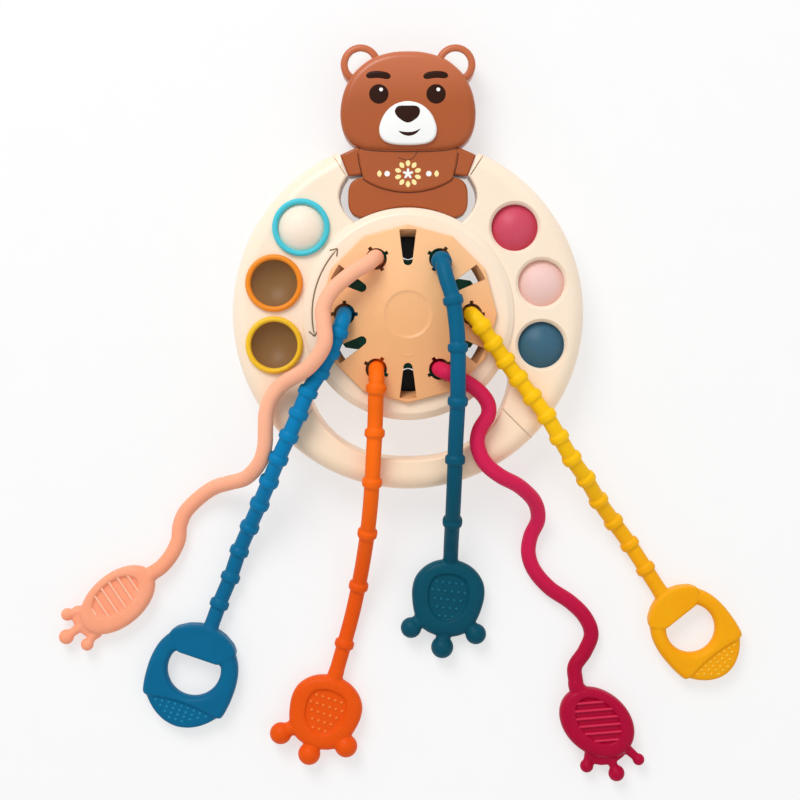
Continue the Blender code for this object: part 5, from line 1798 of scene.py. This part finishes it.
def makeDome(name):
    # z = edge +- (sqrt(S^2 - r^2) - (S - H)), with S the sphere's radius and H the dome's height
    values = poppers[name]
    centre = popperPlace(name)
    edge = domeSet["rimEdge"] if values["front"] else domeSet["deepEdge"]
    reach = domeSet["radius"]
    tall = domeSet["height"]
    sphere = (reach**2 + tall**2) / (2 * tall)
    r = np.linspace(0.25, reach, 40)
    way = 1 if values["up"] else -1
    z = way * (np.sqrt(sphere**2 - r**2) - (sphere - tall))
    lip = [(reach + domeSet["lip"], 0.0), (reach + domeSet["lip"], -0.5)]
    inside = np.column_stack([r - 0.1 * (r / reach), z - domeSet["wall"]])[::-1]
    profile = (np.vstack([np.column_stack([r, z]), lip, inside]) + [0.0, edge]) * mm
    _, look, _, slot = popperLooks[name]
    shape = lathe(profile, popperSet["steps"], centre, closedRows=False)
    dome = addPiece(f"{name}_dome", shape, silicone[look])
    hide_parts(f"popper_dome_{name}")
    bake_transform(dome)
    return dome


for name in poppers:
    makeRim(name)
    makeDome(name)
print("poppers made")


# the bear: pillows whose rounded edges leave the creases between head, ears, sleeves, shirt and legs
bearSet = {
    "ear": (21.4, 112.6),
    "earRadius": 9.1,
    "earInner": 5.9,
    "parting": 12.0,
    "gap": 0.15,
    "headTop": 24.3,
    "headCrown": 0.8,
    "headEdge": 3.4,
    "headBack": 0.6,
    "edge": 1.3,
    "sleeveEdge": 1.2,
    "earRecess": 0.9,
    "shirtTop": 22.6,
    "sleeveTop": 21.9,
    "legTop": 21.4,
    "earTop": 20.6,
    "back": 1.5,
    "muzzleTop": 26.5,
    "muzzleCrown": 0.55,
    "soleRadius": 48.3,
    "soleHalf": 21.2,
    "inlay": 0.05,
    "crease": 0.5,
    "chin": (22.4, 76.6),
    "hem": 61.6,
    "arm": [(21.02, 63.6), (22.02, 67.7), (22.72, 72.6)],
}
headLine = [
    (0, 118.3), (-8, 117.7), (-15.9, 115.2), (-21.5, 111.4), (-25.6, 106.9), (-28.8, 100.6), (-30.4, 93.4),
    (-30.4, 87.1), (-29.1, 81.6), (-26.3, 77.6), (-21.5, 74.8), (-14, 73.6), (0, 73.3),
]
shirtLine = [
    (0, 78.0), (-14, 78.0), (-21.6, 76.2), (-22.6, 73.1), (-21.8, 67.7), (-20.9, 63.5), (-20.2, 60.8),
    (-17.0, 58.9), (-12.0, 56.8), (-6.0, 55.4), (0, 54.9),
]
sleeveLine = [
    (-16.0, 76.7), (-23.4, 75.1), (-30.8, 71.9), (-29.0, 67.3), (-27.0, 62.3), (-21.0, 63.0), (-17.0, 69.7),
]
muzzleLine = [
    (0, 95.5), (-5.6, 94.2), (-10.0, 90.6), (-12.5, 85.6), (-12.9, 81.5), (-11.3, 78.2), (-7.4, 76.4),
    (0, 75.9),
]
noseLine = [
    (-5.9, 91.0), (-4.3, 93.1), (-0.2, 93.3), (3.9, 93.1), (5.4, 91.2), (4.6, 88.5), (2.2, 86.5),
    (-0.1, 85.7), (-2.5, 86.6), (-5.0, 88.7),
]
legLine = [
    (-9.0, 62.8), (-20.4, 61.9), (-24.6, 60.5), (-26.7, 57.3), (-27.1, 52.5), (-26.8, 48.1), (-25.1, 45.2),
]


def wholeOutline(left):
    # the left side's points, top to bottom, and the right side's from them
    left = np.asarray(left, float)
    right = left[1:-1][::-1] * [-1, 1]
    return np.vstack([left, right])


def legOutline():
    # seated legs that end on the collar, at the sole's radius
    foot = bearSet["soleRadius"]
    half = bearSet["soleHalf"]
    corner = np.array((-half, np.sqrt(foot**2 - half**2)))
    upper = splineThrough(np.vstack([legLine, [corner]]), 12)
    start = np.degrees(np.arctan2(corner[1], corner[0]))
    sole = arcOf(foot, start, 180 - start, 80)[1:-1]
    lower = upper[::-1] * [-1, 1]
    return np.vstack([upper, sole, lower])


def heightOver(points, outline, centre, edge, high, crown):
    # z = high + crown (1 - k^2), with k = r / (R - edge), which is the pillow's own top
    p = np.asarray(points, float) - centre
    reach = polarOutline(outline, centre, np.arctan2(p[:, 1], p[:, 0]))
    k = np.clip(np.linalg.norm(p, axis=1) / (reach - edge), 0, 1)
    return high + crown * (1 - k * k)


def bearPillow(outline, centre, low, high, edge, crown, front):
    # one half's pillow: its flat side is at the parting, its rounded one outside
    edges = (0.3, edge) if front else (edge, 0.3)
    points, faces = pillow(outline, centre, pillowRows(low, high, *edges, crown, 12), 300)
    return inFrame(points), faces


def earParts(front):
    # a disc whose front has a raised rim round a flat recess
    s = bearSet
    parts = []
    for side in (-1, 1):
        x, y = s["ear"]
        centre = (side * x * mm, ringY + y * mm)
        if front:
            low, high, inner = s["parting"] + s["gap"], s["earTop"], s["earInner"]
            corners = [(0.2, low, 0), (s["earRadius"], low, 0.3), (s["earRadius"], high, 1.7)]
            floor = high - s["earRecess"]
            corners += [(inner, high, 0.9), (inner, floor, 0.2), (0.2, floor, 0)]
        else:
            low, high = s["back"] + 2.0, s["parting"] - s["gap"]
            corners = [(0.2, low, 0), (s["earRadius"], low, 2.2), (s["earRadius"], high, 0.3), (0.2, high, 0)]
        parts.append(latheOf(corners, 120, centre, closed=False))
    return parts


def inlayParts(outline, centre, height, lift, sink=0.25, count=120):
    # a thin printed patch that follows height(points), with k running out to the outline
    a = roundAngles(count)
    edge = polarOutline(outline, centre, a)
    k = np.array([0.06, 0.3, 0.55, 0.75, 0.9, 0.97, 1.0, 1.0, 0.97, 0.5, 0.06])
    up = np.array([1, 1, 1, 1, 1, 1, 0.7, 0, 0, 0, 0])
    r = k[:, None] * edge
    x, y = polar(r, a, centre)
    flat = np.column_stack([x.ravel(), y.ravel()])
    z = height(flat).reshape(r.shape) + np.where(up[:, None] > 0, lift * up[:, None], -sink)
    return closedGrid(inFrame(np.stack([x, y, z], -1)))


def ribbonParts(line, half, height, lift, sink=0.25):
    # the same along a line, half as wide at each of its points as half says
    side = toLeft(line) * half[:, None]
    across = [(1.0, lift), (0.5, lift), (0.0, lift), (-0.5, lift), (-1.0, lift), (-1.0, -sink), (1.0, -sink)]
    rings = []
    for share, up in across:
        p = line + side * share
        rings.append(np.column_stack([p, height(p) + up]))
    return closedGrid(inFrame(np.stack(rings, 1)))


def circleOf(centre, radius):
    return arcOf(radius, 0, 354, 60, centre)


def flatAt(z):
    # the height of a flat top, as a function of its points
    return lambda points: np.full(len(points), z)


headOutline = splineThrough(wholeOutline(headLine), 14, closed=True)
shirtOutline = roundedOutline(wholeOutline(shirtLine), 360, 2, 2)
sleeveOutline = roundedOutline(sleeveLine, 300, 3, 3)
muzzleOutline = splineThrough(wholeOutline(muzzleLine), 14, closed=True)
legsOutline = roundedOutline(legOutline(), 420, 2, 2)
headCentre = (0.0, 94.0)
shirtCentre = (0.0, 67.0)
sleeveCentre = (24.2, 69.6)
legsCentre = (0.0, 54.6)
muzzleCentre = (0.0, 85.0)
shirtHeight = flatAt(bearSet["shirtTop"])


def headHeight(points):
    s = bearSet
    return heightOver(points, headOutline, headCentre, s["headEdge"], s["headTop"], s["headCrown"])


def muzzleHeight(points):
    s = bearSet
    return heightOver(points, muzzleOutline, muzzleCentre, s["edge"], s["muzzleTop"], s["muzzleCrown"])


def makeBearHalf(name, front):
    # pillows of the head, shirt, sleeves and legs, and the two ears
    s = bearSet
    low = s["parting"] + s["gap"]
    high = s["parting"] - s["gap"]
    parts = []
    x, y = sleeveCentre
    shapes = [
        (headOutline, headCentre, s["headTop"], s["headBack"], s["headEdge"], s["headCrown"]),
        (shirtOutline, shirtCentre, s["shirtTop"], s["back"], s["edge"], 0.0),
        (sleeveOutline, (-x, y), s["sleeveTop"], s["back"] + 0.4, s["sleeveEdge"], 0.0),
        (sleeveOutline * [-1, 1], (x, y), s["sleeveTop"], s["back"] + 0.4, s["sleeveEdge"], 0.0),
        (legsOutline, legsCentre, s["legTop"], s["back"] + 0.6, s["edge"], 0.0),
    ]
    for outline, centre, top, bottom, edge, crown in shapes:
        if front:
            parts.append(bearPillow(outline, centre, low, top, edge, crown, True))
        else:
            parts.append(bearPillow(outline, centre, bottom, high, edge, 0.0, False))
    parts += earParts(front)
    half = addPiece(name, gather(parts), plastic["brown"], "ring")
    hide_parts("bear_front_shell" if front else "bear_rear_shell")
    return evenNormals(half, 40)


def makeMuzzle():
    # a low pillow on the head's front
    s = bearSet
    rows = pillowRows(s["headTop"] - 0.2, s["muzzleTop"], 0.2, s["edge"], s["muzzleCrown"], 12)
    points, faces = pillow(muzzleOutline, muzzleCentre, rows, 200)
    muzzle = addPiece("muzzle", (inFrame(points), faces), plastic["white"], "ring")
    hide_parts("bear_muzzle")
    return muzzle


def makeCreases():
    # dark lines where the head, the sleeves and the legs meet the shirt
    s = bearSet
    lift = 0.4 * s["inlay"]
    x, y = s["chin"]
    chin = headOutline[(headOutline[:, 1] < y) & (np.abs(headOutline[:, 0]) < x)]
    hem = shirtOutline[shirtOutline[:, 1] < s["hem"]]
    lines = []
    wide = s["crease"] / 2
    for line, top in ((chin, s["shirtTop"]), (hem, s["legTop"])):
        line = evenly(line[np.argsort(line[:, 0])] + [0.0, -0.1], 90, closed=False)
        lines.append(ribbonParts(line, np.full(90, wide), flatAt(top), lift))
    for side in (-1, 1):
        arm = splineThrough(np.array(s["arm"]) * [side, 1], 12)
        lines.append(ribbonParts(arm, np.full(len(arm), wide), flatAt(s["sleeveTop"]), lift))
    creases = addPiece("bear_creases", gather(lines), plastic["crease"], "ring")


faceSet = {
    "eyes": [(-13.1, 98.7), (12.6, 98.7)],
    "eye": 4.35,
    "glint": (1.0, 2.0),
    "glintRadius": 0.85,
    "browHalf": 1.55,
    "noseCentre": (-0.2, 90.0),
    "brows": [
        [(-18.8, 106.8), (-14.9, 107.4), (-11.4, 107.2), (-7.8, 106.3)],
        [(6.9, 106.3), (10.5, 107.2), (14.0, 107.4), (18.0, 106.8)],
    ],
    "mouth": [(-4.3, 82.0), (-2.0, 81.0), (0.6, 80.7), (3.1, 81.3), (5.7, 83.0)],
    "mouthHalf": 0.80,
}


def makeFace():
    # eyes, brows, nose and mouth in the dark print; ear insides and glints in white
    f = faceSet
    lift = bearSet["inlay"]
    dark = []
    for eye in f["eyes"]:
        dark.append(inlayParts(circleOf(eye, f["eye"]), eye, headHeight, lift))
    for brow in f["brows"]:
        line = splineThrough(brow, 14)
        t = np.linspace(-1, 1, len(line))
        half = f["browHalf"] * np.sqrt(np.clip(1.02 - np.abs(t) ** 5, 0.02, 1))
        dark.append(ribbonParts(line, half, headHeight, lift))
    nose = splineThrough(noseLine, 8, closed=True)
    dark.append(inlayParts(nose, f["noseCentre"], muzzleHeight, lift))
    mouth = splineThrough(f["mouth"], 12)
    t = np.linspace(-1, 1, len(mouth))
    dark.append(ribbonParts(mouth, f["mouthHalf"] * (1.02 - t * t), muzzleHeight, lift))
    face = addPiece("face_print", gather(dark), plastic["print"], "ring")
    light = []
    x, y = bearSet["ear"]
    inner = bearSet["earInner"] - 0.02
    recess = flatAt(bearSet["earTop"] - bearSet["earRecess"])
    for side in (-1, 1):
        centre = (side * x, y)
        light.append(inlayParts(circleOf(centre, inner), centre, recess, 0.1))
    for eye in f["eyes"]:
        glint = (eye[0] + f["glint"][0], eye[1] + f["glint"][1])
        light.append(inlayParts(circleOf(glint, f["glintRadius"]), glint, headHeight, 2 * lift, 0.0))
    white = addPiece("white_print", gather(light), plastic["white"], "ring")


# the shirt's own pattern: a star in a ring of beads, with a bead and a dot at each side of it
shirtSet = {
    "badge": (0.0, 63.3),
    "beads": 10,
    "beadRing": 4.7,
    "beadSize": (1.05, 1.45),
    "sideBeads": 12.9,
    "sideDots": 9.4,
    "starRadius": (1.0, 2.5),
    "dotRadius": 1.25,
    "neck": [[(-4.4, 70.6), (-1.2, 69.5), (1.9, 69.9)], [(1.9, 69.9), (3.2, 71.4), (4.2, 73.2)]],
}


def lozenge(centre, turn, size):
    # |x / a|^1.6 + |y / b|^1.6 = 1
    a = roundAngles(48)
    shape = np.column_stack([size[0] * signedPower(np.cos(a), 1.25), size[1] * signedPower(np.sin(a), 1.25)])
    return turned(shape, turn) + centre


def makeShirtPattern():
    # the star's edge is at r = low + (high - low) (0.5 + 0.5 cos 5 a)^1.1
    s = shirtSet
    lift = bearSet["inlay"]
    badge = np.array(s["badge"])
    angles = np.linspace(0, 360, s["beads"], endpoint=False)
    a = np.radians(angles)[:, None]
    around = badge + s["beadRing"] * np.hstack([np.sin(a), -np.cos(a)])
    places = [*zip(around, angles), *((badge + [x, 0.0], 0.0) for x in (-s["sideBeads"], s["sideBeads"]))]
    beads = [
        inlayParts(lozenge(centre, angle, s["beadSize"]), centre, shirtHeight, lift, count=48)
        for centre, angle in places
    ]
    row = addPiece("shirt_beads", gather(beads), plastic["pale"], "ring")
    a = roundAngles(80) + np.pi / 2
    low, high = s["starRadius"]
    wave = low + (high - low) * (0.5 + 0.5 * np.cos(5 * (a - np.pi / 2))) ** 1.1
    star = badge + np.column_stack(polar(wave, a))
    parts = [inlayParts(star, badge, shirtHeight, lift, count=160)]
    for dot in badge + np.array([[-s["sideDots"], 0.0], [s["sideDots"], 0.0]]):
        parts.append(inlayParts(circleOf(dot, s["dotRadius"]), dot, shirtHeight, lift, count=40))
    stars = addPiece("shirt_star", gather(parts), plastic["white"], "ring")
    lines = []
    for line in s["neck"]:
        fine = splineThrough(line, 12)
        lines.append(ribbonParts(fine, np.full(len(fine), 0.16), shirtHeight, 0.6 * lift))
    neck = addPiece("shirt_neck", gather(lines), plastic["crease"], "ring")


makeBearHalf("bear_front", True)
makeBearHalf("bear_rear", False)
makeMuzzle()
makeCreases()
makeFace()
makeShirtPattern()
print("bear made")
